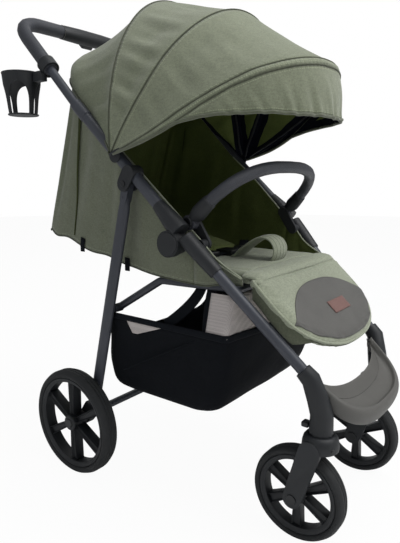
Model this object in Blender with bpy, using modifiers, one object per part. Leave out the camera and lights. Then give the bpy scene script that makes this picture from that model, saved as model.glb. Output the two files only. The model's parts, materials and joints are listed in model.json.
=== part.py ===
"""All-terrain stroller with a folding frame, swivel front wheels, a hooped canopy and a deep reclining seat.

Metres, +Z up. The front of the stroller points to -Y and its right-hand side to -X.
The origin is on the ground below the middle of the stroller.
"""
import math

import bmesh
import bpy
from mathutils import Matrix, Vector

# Clearances
GAP = 0.0003
RUN = 0.0006

# Wheels
REAR_RADIUS = 0.130
REAR_TYRE_WIDTH = 0.042
REAR_TYRE_DEPTH = 0.018
REAR_WHEEL_CLEARANCE = 0.004
REAR_AXLE_Y = 0.223
FRONT_RADIUS = 0.098
FRONT_TYRE_WIDTH = 0.038
FRONT_TYRE_DEPTH = 0.015
FRONT_TRACK = 0.320
FRONT_AXLE_Y = -0.330
SPOKES = 6
RIM_LIP = 0.012
SPOKE_WIDTH = 0.015
AXLE_PIN_RADIUS = 0.005
HUB_RADIUS = 0.019

# Forks
SWIVEL_Y = -0.371
COLLAR_BOTTOM = 0.204
COLLAR_TOP = 0.238
COLLAR_RADIUS = 0.030
ARM_THICKNESS = 0.012
ARM_WIDTH = 0.044
ARM_CLEARANCE = 0.005
KINGPIN_RADIUS = 0.006
LOCK_RADIUS = 0.007

# Frame, with its places in side view as (y, z)
FRAME_HALF_WIDTH = 0.235
LEG_SPLAY = 0.020
FRAME_BEND = Vector((-0.095, 0.606))
UPPER_ANGLE = math.radians(41.7)
HANDLE_ANGLE = math.radians(45.0)
LEG_LOW = Vector((-0.338, 0.363))
LEG_LOW_HALF_WIDTH = FRONT_TRACK / 2 + LEG_SPLAY
FOLD_DROP = 0.031
FOLD_AHEAD = 0.010
SLEEVE_LENGTH = 0.100
FLARE_LENGTH = 0.090
UPPER_LENGTH = 0.420
HANDLE_TUBE_LENGTH = 0.116
HANDLE_REACH = 0.186
HANDLE_BEND_RADIUS = 0.070
UPPER_TUBE_RADIUS = 0.0125
COLLAR_LENGTH = 0.050
HANDLE_TUBE_RADIUS = 0.0105
GRIP_RADIUS = 0.0165
LEG_RADIUS = 0.0115
CONTROL_HALF_LENGTH = 0.094

# Rear legs
REAR_PIVOT = Vector((0.058, 0.708))
REAR_LEG_FOOT = Vector((0.192, 0.168))
REAR_LEG_DEPTH = 0.030
REAR_LEG_WIDTH = 0.020
REAR_EYE_RADIUS = 0.0110
BRACKET_CHEEK = 0.006
REAR_TRACK = 2 * (FRAME_HALF_WIDTH + REAR_LEG_WIDTH / 2 + REAR_WHEEL_CLEARANCE + REAR_TYRE_WIDTH / 2)
AXLE_BAR = Vector((0.205, 0.142))
AXLE_BAR_RADIUS = 0.009

# Seat
LINK_PIVOT = Vector((-0.190, 0.500))
LINK_BEND = Vector((0.016, 0.494))
LINK_END = Vector((0.127, 0.420))
LINK_INSET = 0.057
LINK_END_INSET = 0.032
LINK_HALF_WIDTH = FRAME_HALF_WIDTH - LINK_INSET
LINK_END_HALF_WIDTH = FRAME_HALF_WIDTH - LINK_END_INSET
LINK_RADIUS = 0.009
SEAT_INSET = 0.004
SEAT_HALF_WIDTH = LINK_HALF_WIDTH - SEAT_INSET
SEAT_THICKNESS = 0.024
SEAT_REAR_Y = 0.028
SEAT_FRONT_Y = -0.214
BACK_LENGTH = 0.340
BACK_ANGLE = math.radians(14.5)
BACK_THICKNESS = 0.026
BACK_OVERHANG = 0.012
BACK_HALF_WIDTH = SEAT_HALF_WIDTH + BACK_OVERHANG
CALF_ANGLE = math.radians(42.0)
CALF_LENGTH = 0.206
CALF_THICKNESS = 0.022
CALF_OVERHANG = 0.024
CALF_HALF_WIDTH = SEAT_HALF_WIDTH + CALF_OVERHANG
CALF_INSETS = (0.008, 0.006, 0.004, 0.002, 0.000, 0.006, 0.028, 0.066, 0.113, 0.163)
CALF_ALONG = (0.0, 0.30, 0.55, 0.73, 0.87, 0.96, 1.0)

# Crotch pad and buckle
CROTCH_START = -0.080
CROTCH_SPAN = 0.126
CROTCH_RISE = 0.050
CROTCH_HALF_WIDTH = 0.024
CROTCH_THICKNESS = 0.010
BUCKLE_REAR = -0.022
BUCKLE_FRONT = -0.070
BUCKLE_HEIGHT = 0.018

# Seat shell, each station as (inset, y, z) low down and at the top edge
SHELL_THICKNESS = 0.004
SHELL_HALF_WIDTH = FRAME_HALF_WIDTH - REAR_LEG_WIDTH / 2 - BRACKET_CHEEK - 2 * GAP
SHELL_STATIONS = (
    ((0.0264, -0.208, 0.512), (0.0264, -0.208, 0.524)),
    ((0.0244, -0.150, 0.506), (0.0244, -0.150, 0.546)),
    ((0.0224, -0.109, 0.500), (0.0214, -0.109, 0.566)),
    ((0.0224, 0.000, 0.506), (0.0064, 0.000, 0.655)),
    ((0.0224, 0.060, 0.514), (0.0, 0.058, 0.701)),
    ((0.0224, 0.120, 0.528), (0.0, 0.105, 0.741)),
    ((0.0214, 0.200, 0.545), (0.0, 0.142, 0.810)),
    ((0.0204, 0.300, 0.570), (0.0104, 0.205, 0.896)),
    ((0.0204, 0.360, 0.584), (0.0184, 0.255, 0.922)),
    ((0.0274, 0.388, 0.591), (0.0274, 0.280, 0.929)),
    ((0.0504, 0.397, 0.594), (0.0504, 0.289, 0.931)),
    ((0.1284, 0.399, 0.595), (0.1284, 0.291, 0.932)),
)

# Bumper bar
BUMPER_PIVOT = Vector((-0.088, 0.631))
BUMPER_INSET = 0.032
BUMPER_HALF_WIDTH = FRAME_HALF_WIDTH - BUMPER_INSET
BUMPER_HOOP = (math.radians(135.0), 0.159)
BUMPER_POWER = 2.75
BUMPER_RADIUS = 0.0132

# Canopy, each hoop as (angle up from the rear, length from the pivot)
CANOPY_PIVOT = Vector((0.082, 0.768))
CANOPY_SPREAD = 0.027
CANOPY_HALF_WIDTH = FRAME_HALF_WIDTH + CANOPY_SPREAD
FABRIC = 0.0025
BOW_RADIUS = 0.0025
BOW_INSET = 0.0080
HOOP_POWER = 2.1
REAR_EDGE = (math.radians(51.9), 0.270)
REAR_HEM = (math.radians(42.2), 0.268)
REAR_EDGE_HALF_WIDTH = FRAME_HALF_WIDTH - UPPER_TUBE_RADIUS - GAP
REAR_EDGE_POWER = 8.0
REAR_EDGE_START = 0.085
BOW_REAR = (math.radians(85.9), 0.364)
BOW_MID = (math.radians(118.6), 0.353)
BOW_FRONT = (math.radians(154.5), 0.412)
BRIM = (math.radians(166.0), 0.392)
HUB_DISC_RADIUS = 0.016
PANEL_START = 0.046

# Basket, each level as (z, front y, rear y, inset of the sides, corner radius)
BASKET_HALF_WIDTH = FRAME_HALF_WIDTH - REAR_LEG_WIDTH / 2 - GAP
BASKET_WALL = 0.004
BASKET_LEVELS = (
    (0.205, -0.105, 0.150, 0.0540, 0.035),
    (0.225, -0.140, 0.172, 0.0315, 0.035),
    (0.270, -0.165, 0.176, 0.0180, 0.035),
    (0.340, -0.180, 0.160, 0.0090, 0.025),
    (0.405, -0.195, 0.146, 0.0, 0.010),
)

# Cup holder, placed from the lower end of the right-hand grip
CUP_OUTSIDE = 0.021
CUP_BEHIND = 0.0854
CUP_DROP = 0.0014
CUP_HEIGHT = 0.098
CUP_TOP_RADIUS = 0.046
CUP_LOW_RADIUS = 0.034
CUP_WALL = 0.0035

# Footrest
FOOTREST_REAR = Vector((-0.352, 0.312))
FOOTREST_DEPTH = 0.098
FOOTREST_END_DEPTH = 0.030
FOOTREST_HEIGHT = 0.076

RIGHT = -1
LEFT = 1
SIDES = ((RIGHT, "right"), (LEFT, "left"))

UPPER_DIR = Vector((math.cos(UPPER_ANGLE), math.sin(UPPER_ANGLE)))
UPPER_NORMAL = Vector((-UPPER_DIR.y, UPPER_DIR.x))
HANDLE_DIR = Vector((math.cos(HANDLE_ANGLE), math.sin(HANDLE_ANGLE)))
FOLD_PIVOT = FRAME_BEND + UPPER_DIR * FOLD_AHEAD - UPPER_NORMAL * FOLD_DROP
HANDLE_START = FRAME_BEND + UPPER_DIR * UPPER_LENGTH
GRIP_START = HANDLE_START + HANDLE_DIR * HANDLE_TUBE_LENGTH
HANDLE_BAR = GRIP_START + HANDLE_DIR * HANDLE_REACH
CUP_CENTRE = Vector((-FRAME_HALF_WIDTH - CUP_OUTSIDE, GRIP_START.x + CUP_BEHIND))
CUP_TOP = GRIP_START.y - CUP_DROP


def start_clean():
    """Empty the scene and make the collections for the parts and their cutters."""
    for old in list(bpy.data.objects):
        bpy.data.objects.remove(old)
    for name in ("all_terrain_stroller", "cutters"):
        group = bpy.data.collections.new(name)
        bpy.context.scene.collection.children.link(group)


def look(name, colour, roughness, metallic=0.0):
    """A Principled material, made once for each name."""
    found = bpy.data.materials.get(name)
    if found:
        return found
    made = bpy.data.materials.new(name)
    made.use_nodes = True
    shader = made.node_tree.nodes["Principled BSDF"]
    shader.inputs["Base Color"].default_value = (*colour, 1.0)
    shader.inputs["Roughness"].default_value = roughness
    shader.inputs["Metallic"].default_value = metallic
    return made


def frame_paint():
    return look("frame_paint", (0.028, 0.030, 0.043), 0.55, 0.3)


def dark_plastic():
    return look("dark_plastic", (0.024, 0.026, 0.033), 0.6)


def grey_plastic():
    return look("grey_plastic", (0.075, 0.075, 0.072), 0.6)


def tyre_rubber():
    return look("tyre_rubber", (0.017, 0.018, 0.022), 0.85)


def grip_foam():
    return look("grip_foam", (0.027, 0.029, 0.038), 0.8)


def green_cloth():
    return look("green_cloth", (0.17, 0.20, 0.14), 0.95)


def pad_cloth():
    return look("pad_cloth", (0.27, 0.30, 0.21), 0.95)


def basket_cloth():
    return look("basket_cloth", (0.010, 0.012, 0.018), 0.95)


def body(name, x, point):
    """An empty on a joint's axis that carries one moving body."""
    holder = bpy.data.objects.new(name, None)
    holder.location = (x, point.x, point.y)
    bpy.data.collections["all_terrain_stroller"].objects.link(holder)
    return holder


def keep(item, material, holder):
    """Put a finished piece in the stroller's collection, on its body."""
    for group in list(item.users_collection):
        group.objects.unlink(item)
    bpy.data.collections["all_terrain_stroller"].objects.link(item)
    item.data.materials.clear()
    item.data.materials.append(material)
    if holder:
        item.parent = holder
        item.matrix_parent_inverse = Matrix.Translation(holder.location).inverted()
    return item


def at(x, point):
    """The 3-D place of a side-view point."""
    return Vector((x, point.x, point.y))


def new_mesh(name, builder):
    """A mesh object filled by builder(bm)."""
    bm = bmesh.new()
    builder(bm)
    data = bpy.data.meshes.new(name)
    bm.to_mesh(data)
    bm.free()
    item = bpy.data.objects.new(name, data)
    bpy.context.scene.collection.objects.link(item)
    return item


def as_mesh(source, name):
    """A plain welded mesh object from a curve or a mesh with modifiers."""
    bpy.context.view_layer.update()
    graph = bpy.context.evaluated_depsgraph_get()
    data = bpy.data.meshes.new_from_object(source.evaluated_get(graph))
    place = source.matrix_world.copy()
    bpy.data.objects.remove(source)
    bm = bmesh.new()
    bm.from_mesh(data)
    bmesh.ops.remove_doubles(bm, verts=bm.verts, dist=0.00001)
    bmesh.ops.recalc_face_normals(bm, faces=bm.faces)
    bm.to_mesh(data)
    bm.free()
    item = bpy.data.objects.new(name, data)
    item.matrix_world = place
    bpy.context.scene.collection.objects.link(item)
    return item


def tube(name, points, radii, resolution=3):
    """A round tube through points, whose radius may change from point to point."""
    if not isinstance(radii, (list, tuple)):
        radii = [radii] * len(points)
    data = bpy.data.curves.new(name, "CURVE")
    data.dimensions = "3D"
    data.bevel_depth = radii[0]
    data.bevel_resolution = resolution
    data.use_fill_caps = True
    spline = data.splines.new("POLY")
    spline.points.add(len(points) - 1)
    for slot, place, radius in zip(spline.points, points, radii):
        slot.co = (*place, 1.0)
        slot.radius = radius / radii[0]
    item = bpy.data.objects.new(name, data)
    bpy.context.scene.collection.objects.link(item)
    return as_mesh(item, name)


def cylinder(name, centre, axis, radius, length, sides=24, radius_end=None):
    """A cylinder or cone about the axis direction, with its middle at centre."""
    def build(bm):
        top = radius if radius_end is None else radius_end
        bmesh.ops.create_cone(bm, cap_ends=True, segments=sides, radius1=radius, radius2=top, depth=length)
    item = new_mesh(name, build)
    turn = Vector(axis).to_track_quat("Z", "Y").to_matrix().to_4x4()
    item.data.transform(Matrix.Translation(centre) @ turn)
    return item


def block(name, low, high):
    """A box from its low corner to its high corner."""
    size = Vector(high) - Vector(low)
    middle = (Vector(high) + Vector(low)) / 2
    item = new_mesh(name, lambda bm: bmesh.ops.create_cube(bm, size=1.0))
    item.data.transform(Matrix.Translation(middle) @ Matrix.Diagonal((*size, 1.0)))
    return item


def turned(name, profile, centre, axis, steps=32):
    """A solid of revolution about axis, from (radius, height) points of a closed or a pole-to-pole profile."""
    ring = profile[0][0] > 0 and profile[-1][0] > 0

    def build(bm):
        verts = [bm.verts.new((radius, 0, height)) for radius, height in profile]
        for first, second in zip(verts, verts[1:]):
            bm.edges.new((first, second))
        if ring:
            bm.edges.new((verts[-1], verts[0]))
    item = new_mesh(name, build)
    screw = item.modifiers.new("turn", "SCREW")
    screw.axis = "Z"
    screw.angle = math.tau
    screw.steps = steps
    screw.render_steps = steps
    screw.use_merge_vertices = True
    screw.merge_threshold = 0.0001
    item = as_mesh(item, name)
    turn = Vector(axis).to_track_quat("Z", "Y").to_matrix().to_4x4()
    item.data.transform(Matrix.Translation(centre) @ turn)
    return item


def side_plate(name, outline, x_low, x_high):
    """A flat plate with a side-view outline of (y, z) points, from x_low to x_high."""
    data = bpy.data.curves.new(name, "CURVE")
    data.dimensions = "2D"
    data.fill_mode = "BOTH"
    data.extrude = (x_high - x_low) / 2
    spline = data.splines.new("POLY")
    spline.points.add(len(outline) - 1)
    spline.use_cyclic_u = True
    for slot, place in zip(spline.points, outline):
        slot.co = (place[0], place[1], 0, 1)
    item = bpy.data.objects.new(name, data)
    bpy.context.scene.collection.objects.link(item)
    item = as_mesh(item, name)
    to_side = Matrix(((0, 0, 1, (x_low + x_high) / 2), (1, 0, 0, 0), (0, 1, 0, 0), (0, 0, 0, 1)))
    item.data.transform(to_side)
    return item


def hull_outline(circles, steps=8):
    """The outline round two circles given as (centre, radius), as side-view points."""
    (first, radius_1), (second, radius_2) = circles
    run = second - first
    heading = math.atan2(run.y, run.x)
    spread = math.acos((radius_1 - radius_2) / run.length)
    points = []
    for centre, radius, start, sweep in (
        (first, radius_1, heading + spread, math.tau - 2 * spread),
        (second, radius_2, heading - spread, 2 * spread),
    ):
        for step in range(steps + 1):
            turn = start + sweep * step / steps
            points.append(centre + radius * Vector((math.cos(turn), math.sin(turn))))
    return points


def loft(name, rings):
    """A solid skinned through rings that all hold the same number of points, with flat ends."""
    def build(bm):
        rows = [[bm.verts.new(place) for place in ring] for ring in rings]
        count = len(rows[0])
        for first, second in zip(rows, rows[1:]):
            for step in range(count):
                ahead = (step + 1) % count
                bm.faces.new((first[step], first[ahead], second[ahead], second[step]))
        bm.faces.new(rows[0])
        bm.faces.new(rows[-1])
        bmesh.ops.recalc_face_normals(bm, faces=bm.faces)
    return new_mesh(name, build)


def cloth(name, rows, thickness, inside):
    """A sheet of even thickness whose outer face is the grid of rows, with inside as a point behind it."""
    def build(bm):
        verts = [[bm.verts.new(place) for place in row] for row in rows]
        for first, second in zip(verts, verts[1:]):
            for step in range(len(first) - 1):
                bm.faces.new((first[step], first[step + 1], second[step + 1], second[step]))
        bm.normal_update()
        outward = sum(face.normal.dot(face.calc_center_median() - inside) for face in bm.faces)
        if outward < 0:
            bmesh.ops.reverse_faces(bm, faces=bm.faces)
    item = new_mesh(name, build)
    solid = item.modifiers.new("thickness", "SOLIDIFY")
    solid.thickness = thickness
    solid.offset = -1
    solid.use_even_offset = True
    return item


def combine(target, tool, operation):
    """Add a Boolean of a piece that then waits as a hidden cutter."""
    for group in list(tool.users_collection):
        group.objects.unlink(tool)
    bpy.data.collections["cutters"].objects.link(tool)
    tool.hide_render = True
    tool.display_type = "WIRE"
    step = target.modifiers.new(operation.lower(), "BOOLEAN")
    step.operation = operation
    step.object = tool
    step.solver = "EXACT"


def join(target, *pieces):
    for piece in pieces:
        combine(target, piece, "UNION")


def cut(target, *cutters):
    for cutter in cutters:
        combine(target, cutter, "DIFFERENCE")


def smooth(item, angle=40):
    """Round shading with sharp edges where faces meet at more than the angle."""
    item.data.shade_smooth()
    item.data.set_sharp_from_angle(angle=math.radians(angle))
    return item


def bent(points, radius, steps=6):
    """A path through corner points, with each inner corner rounded to the radius."""
    path = [points[0]]
    for before, corner, after in zip(points, points[1:], points[2:]):
        arrive = (corner - before).normalized()
        leave = (after - corner).normalized()
        half = arrive.angle(leave) / 2
        reach = radius * math.tan(half)
        centre = corner + (leave - arrive).normalized() * (radius / math.cos(half))
        start = corner - arrive * reach - centre
        end = corner + leave * reach - centre
        for step in range(steps + 1):
            path.append(centre + start.slerp(end, step / steps).normalized() * radius)
    path.append(points[-1])
    return path


def leg_place(side, distance):
    """A place on the front leg's axis, at a distance below the frame's bend."""
    high = at(side * FRAME_HALF_WIDTH, FRAME_BEND)
    low = at(side * LEG_LOW_HALF_WIDTH, LEG_LOW)
    return high + (low - high).normalized() * distance


def leg_length():
    high = at(FRAME_HALF_WIDTH, FRAME_BEND)
    return (at(LEG_LOW_HALF_WIDTH, LEG_LOW) - high).length


def wheel(label, centre, side, radius, tyre_width, tyre_depth, pin_end, holder):
    """A tyre and a spoked rim that turn about X, with a blind bore for the axle pin."""
    rim_radius = radius - tyre_depth
    half = tyre_width / 2
    outward = (side, 0, 0)
    bead = rim_radius + GAP
    shoulder = radius - tyre_depth * 0.45
    crown = radius - tyre_depth * 0.08
    tyre = turned("tyre_" + label, [
        (bead, -half * 0.8), (bead, half * 0.8), (shoulder, half), (crown, half * 0.62),
        (radius, half * 0.25), (radius, -half * 0.25), (crown, -half * 0.62), (shoulder, -half),
    ], centre, outward, 40)
    keep(smooth(tyre), tyre_rubber(), holder)

    lip = rim_radius - RIM_LIP
    rim = turned("rim_" + label, [
        (lip, -half * 0.7), (rim_radius, -half * 0.8), (rim_radius, half * 0.8), (lip, half * 0.7),
    ], centre, outward, 40)
    hub_half = half + 0.0005
    join(rim, cylinder("hub_" + label, centre, outward, HUB_RADIUS, hub_half * 2, 20))
    for step in range(SPOKES):
        turn = math.tau * (step + 0.5) / SPOKES
        spoke = block("spoke_%s_%d" % (label, step), (-half * 0.55, -SPOKE_WIDTH / 2, 0),
                      (half * 0.55, SPOKE_WIDTH / 2, lip + RIM_LIP / 3))
        spoke.data.transform(Matrix.Translation(centre) @ Matrix.Rotation(turn - math.pi / 2, 4, "X"))
        join(rim, spoke)
    bore_start = -half - 0.01
    bore_middle = (bore_start + pin_end) / 2
    bore = cylinder("bore_" + label, centre + Vector((side * bore_middle, 0, 0)), outward,
                    AXLE_PIN_RADIUS + GAP, pin_end - bore_start + 2 * GAP, 16)
    cut(rim, bore)
    keep(smooth(rim), dark_plastic(), holder)


def front_frame():
    """Front legs, the lower halves of the fold joints, the swivel housings and the footrest."""
    for side, label in SIDES:
        end = leg_length()
        leg = tube("front_leg_" + label,
                   [leg_place(side, SLEEVE_LENGTH + GAP), leg_place(side, end - GAP)], LEG_RADIUS, 4)
        keep(smooth(leg), frame_paint(), None)
        fold_lower(side, label)
        housing = tube("swivel_housing_" + label, housing_path(side), housing_radii(), 4)
        kingpin = cylinder("kingpin_bore_" + label, Vector((side * FRONT_TRACK / 2, SWIVEL_Y, COLLAR_TOP)),
                           (0, 0, 1), KINGPIN_RADIUS + GAP, 0.044, 16)
        cut(housing, kingpin)
        keep(smooth(housing), dark_plastic(), None)
    footrest()


def housing_path(side):
    """The swivel housing's axis: along the leg, then down on to the swivel axis."""
    end = leg_length()
    swivel = Vector((side * FRONT_TRACK / 2, SWIVEL_Y, 0))
    return [
        leg_place(side, end),
        leg_place(side, end + 0.022),
        swivel + Vector((side * 0.006, 0.007, COLLAR_TOP + 0.070)),
        swivel + Vector((0, 0, COLLAR_TOP + 0.036)),
        swivel + Vector((0, 0, COLLAR_TOP + RUN)),
    ]


def housing_radii(extra=0.0):
    return [0.0165 + extra, 0.0190 + extra, 0.0215 + extra, 0.0225 + extra, 0.0235 + extra]


def fold_lower(side, label):
    """The sleeve and round cheek of the fold joint that belong to the front leg."""
    sleeve = tube("fold_lower_" + label,
                  [leg_place(side, 0.004), leg_place(side, 0.045), leg_place(side, SLEEVE_LENGTH)],
                  [0.0175, 0.0170, 0.0150], 4)
    pivot = at(side * FRAME_HALF_WIDTH, FOLD_PIVOT)
    cheek = cylinder("fold_cheek_" + label, pivot + Vector((side * 0.0105, 0, 0)), (1, 0, 0), 0.0275, 0.018, 32)
    join(sleeve, cheek)
    room = cylinder("fold_room_" + label, pivot - Vector((side * 0.0165, 0, 0)), (1, 0, 0),
                    0.024 + RUN, 0.036, 32)
    cut(sleeve, room)
    keep(smooth(sleeve), dark_plastic(), None)


def fold_upper(side, label, holder):
    """The flared housing and inner cheek of the fold joint that belong to the upper tube."""
    centre = side * FRAME_HALF_WIDTH
    places = [at(centre, FRAME_BEND + UPPER_DIR * along) for along in (0.012, 0.050, FLARE_LENGTH)]
    flare = tube("fold_upper_" + label, places, [0.0220, 0.0190, 0.0140], 4)
    pivot = at(centre, FOLD_PIVOT)
    cheek = cylinder("inner_cheek_" + label, pivot - Vector((side * 0.0090, 0, 0)), (1, 0, 0), 0.024, 0.0188, 32)
    join(flare, cheek)
    room = cylinder("cheek_room_" + label, pivot + Vector((side * 0.0213, 0, 0)), (1, 0, 0),
                    0.0275 + RUN, 0.040, 32)
    cut(flare, room)
    keep(smooth(flare), dark_plastic(), holder)


def footrest():
    """A scoop-shaped step between the two swivel housings."""
    half = FRONT_TRACK / 2 - 0.002
    stations = 13
    rings = []
    for station in range(stations):
        turn = math.pi * (station / (stations - 1) - 0.5)
        x = half * math.sin(turn)
        depth = FOOTREST_END_DEPTH + (FOOTREST_DEPTH - FOOTREST_END_DEPTH) * math.cos(turn)
        rear = FOOTREST_REAR
        low = rear.y - FOOTREST_HEIGHT + 0.014 * (1 - math.cos(turn))
        section = [
            (0.0, rear.y + 0.010), (-0.45, rear.y - 0.018), (-0.88, rear.y + 0.014), (-0.97, rear.y + 0.012),
            (-1.0, rear.y - 0.002), (-0.94, rear.y - 0.034), (-0.66, low), (-0.50, low),
            (-0.78, rear.y - 0.034), (-0.80, rear.y - 0.010), (-0.45, rear.y - 0.030), (0.0, rear.y - 0.002),
        ]
        rings.append([Vector((x, rear.x + share * depth, z)) for share, z in section])
    step = loft("footrest", rings)
    for side, label in SIDES:
        cut(step, tube("footrest_seat_" + label, housing_path(side), housing_radii(GAP), 4))
    keep(smooth(step), grey_plastic(), None)


def forks():
    """Swivelling single-arm forks with their wheels. Both arms are on the right-hand side of their wheel."""
    for side, label in SIDES:
        swivel_x = side * FRONT_TRACK / 2
        holder = body("fork_swivel_" + label, swivel_x, Vector((SWIVEL_Y, COLLAR_TOP)))
        centre = Vector((swivel_x, SWIVEL_Y, 0))
        axle = Vector((swivel_x, FRONT_AXLE_Y, FRONT_RADIUS))
        fork = turned("fork_" + label, [
            (0, COLLAR_TOP + 0.018), (KINGPIN_RADIUS, COLLAR_TOP + 0.018), (KINGPIN_RADIUS, COLLAR_TOP),
            (0.0225, COLLAR_TOP), (COLLAR_RADIUS - 0.002, COLLAR_TOP - 0.012),
            (COLLAR_RADIUS, COLLAR_TOP - 0.022), (COLLAR_RADIUS - 0.004, COLLAR_BOTTOM), (0, COLLAR_BOTTOM),
        ], centre, (0, 0, 1), 28)
        inner = swivel_x - FRONT_TYRE_WIDTH / 2 - ARM_CLEARANCE
        outer = inner - ARM_THICKNESS
        top = Vector((SWIVEL_Y + 0.008, COLLAR_BOTTOM + 0.004))
        foot = Vector((FRONT_AXLE_Y, FRONT_RADIUS))
        arm = side_plate("arm_" + label, hull_outline([(top, ARM_WIDTH / 2), (foot, HUB_RADIUS)]), outer, inner)
        crop = block("arm_crop_" + label, (outer - 0.02, SWIVEL_Y - 0.1, COLLAR_TOP - 0.008),
                     (inner + 0.02, SWIVEL_Y + 0.1, COLLAR_TOP + 0.05))
        pin_length = ARM_CLEARANCE + FRONT_TYRE_WIDTH - 0.008
        pin = cylinder("front_pin_" + label, axle + Vector((inner - swivel_x + pin_length / 2 - 0.002, 0, 0)),
                       (1, 0, 0), AXLE_PIN_RADIUS, pin_length + 0.004, 16)
        cut(arm, crop)
        join(arm, pin)
        join(fork, as_mesh(arm, "arm_" + label))
        keep(smooth(fork), dark_plastic(), holder)

        wheel_holder = body("front_wheel_spin_" + label, swivel_x, foot)
        wheel_holder.parent = holder
        wheel_holder.matrix_parent_inverse = Matrix.Translation(holder.location).inverted()
        pin_end = FRONT_TYRE_WIDTH / 2 - 0.008
        wheel("front_" + label, axle, LEFT, FRONT_RADIUS, FRONT_TYRE_WIDTH, FRONT_TYRE_DEPTH, pin_end, wheel_holder)
        swivel_lock(side, label)


def swivel_lock(side, label):
    """The lever behind the collar that stops the fork from swivelling."""
    x = side * FRONT_TRACK / 2
    pivot = Vector((SWIVEL_Y + 0.0229 + GAP + LOCK_RADIUS, COLLAR_TOP + 0.012))
    holder = body("swivel_lock_pivot_" + label, x, pivot)
    tip = pivot + Vector((0.018, -0.007))
    lever = side_plate("swivel_lock_" + label, hull_outline([(pivot, LOCK_RADIUS), (tip, 0.0035)], 5),
                       x - 0.009, x + 0.009)
    keep(smooth(lever), dark_plastic(), holder)


def upper_frame():
    """Upper tubes, handle, fold control and rear-leg brackets."""
    holder = body("frame_fold", 0, FOLD_PIVOT)
    for side, label in SIDES:
        centre = side * FRAME_HALF_WIDTH
        fold_upper(side, label, holder)
        low = FRAME_BEND + UPPER_DIR * (FLARE_LENGTH + GAP)
        collar = HANDLE_START - UPPER_DIR * COLLAR_LENGTH
        top = HANDLE_START
        grip_end = GRIP_START - HANDLE_DIR * GAP
        path = [low, collar, collar + UPPER_DIR * 0.002, top, top + HANDLE_DIR * 0.002, grip_end]
        radii = [UPPER_TUBE_RADIUS, UPPER_TUBE_RADIUS, UPPER_TUBE_RADIUS + 0.0015,
                 UPPER_TUBE_RADIUS + 0.001, HANDLE_TUBE_RADIUS, HANDLE_TUBE_RADIUS]
        upper = tube("upper_tube_" + label, [at(centre, place) for place in path], radii, 4)
        keep(smooth(upper), frame_paint(), holder)
        rear_bracket(side, label, holder)
        hinge = cylinder("canopy_hinge_" + label,
                         at(side * (FRAME_HALF_WIDTH + UPPER_TUBE_RADIUS + GAP + 0.001), CANOPY_PIVOT),
                         (1, 0, 0), HUB_DISC_RADIUS, 0.002, 24)
        keep(smooth(hinge), dark_plastic(), holder)
        corner = at(centre, HANDLE_BAR)
        bar_end = at(side * (CONTROL_HALF_LENGTH + GAP), HANDLE_BAR)
        grip = tube("handle_grip_" + label, bent([at(centre, GRIP_START), corner, bar_end], HANDLE_BEND_RADIUS, 7),
                    GRIP_RADIUS, 4)
        keep(smooth(grip), grip_foam(), holder)
    fold_control(holder)
    cup_holder(holder)


def rear_bracket(side, label, holder):
    """The bracket on the upper tube that holds the rear leg's eye between two cheeks."""
    centre = side * FRAME_HALF_WIDTH
    foot = REAR_PIVOT - FRAME_BEND
    along = foot.dot(UPPER_DIR)
    top = FRAME_BEND + UPPER_DIR * (along + 0.004)
    half = REAR_LEG_WIDTH / 2 + GAP
    bracket = side_plate("rear_bracket_" + label, hull_outline([(top, 0.0175), (REAR_PIVOT, 0.0165)]),
                         centre - half - BRACKET_CHEEK, centre + half + BRACKET_CHEEK)
    tunnel_start = at(centre, top - UPPER_DIR * 0.06)
    tunnel_end = at(centre, top + UPPER_DIR * 0.06)
    tunnel = tube("tube_tunnel_" + label, [tunnel_start, tunnel_end], UPPER_TUBE_RADIUS + GAP, 4)
    slot_top = top - UPPER_NORMAL * (UPPER_TUBE_RADIUS + 0.0015)
    slot = [
        slot_top - UPPER_DIR * 0.06, slot_top + UPPER_DIR * 0.06,
        slot_top + UPPER_DIR * 0.06 - UPPER_NORMAL * 0.08, slot_top - UPPER_DIR * 0.06 - UPPER_NORMAL * 0.08,
    ]
    cut(bracket, tunnel, side_plate("eye_slot_" + label, slot, centre - half, centre + half))
    keep(smooth(bracket), dark_plastic(), holder)


def fold_control(holder):
    """The moulded centre of the handle with its fold button."""
    low = HANDLE_BAR
    rings = []
    for share, size in ((-1, 0.0168), (-0.93, 0.0185), (-0.4, 0.0200), (0.4, 0.0200), (0.93, 0.0185), (1, 0.0168)):
        ring = []
        for step in range(16):
            turn = math.tau * step / 16
            offset = HANDLE_DIR * (math.cos(turn) * size * 1.04)
            across = Vector((-HANDLE_DIR.y, HANDLE_DIR.x)) * (math.sin(turn) * size * 0.96)
            ring.append(at(share * CONTROL_HALF_LENGTH, low + offset + across))
        rings.append(ring)
    control = loft("fold_control", rings)
    under = Vector((HANDLE_DIR.y, -HANDLE_DIR.x))
    socket_top = low + under * 0.006
    recess = block("button_recess", (-0.0185, -0.0105, -0.04), (0.0185, 0.0105, 0))
    face = Matrix.Rotation(HANDLE_ANGLE, 4, "X")
    recess.data.transform(Matrix.Translation(at(0, socket_top)) @ face)
    cut(control, recess)
    keep(smooth(control), dark_plastic(), holder)
    button_holder = body("fold_button_slide", 0, socket_top)
    button_holder.parent = holder
    button_holder.matrix_parent_inverse = Matrix.Translation(holder.location).inverted()
    button = block("fold_button", (-0.018, -0.010, -0.0195), (0.018, 0.010, -0.006))
    button.data.transform(Matrix.Translation(at(0, socket_top)) @ face)
    keep(button, dark_plastic(), button_holder)


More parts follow.
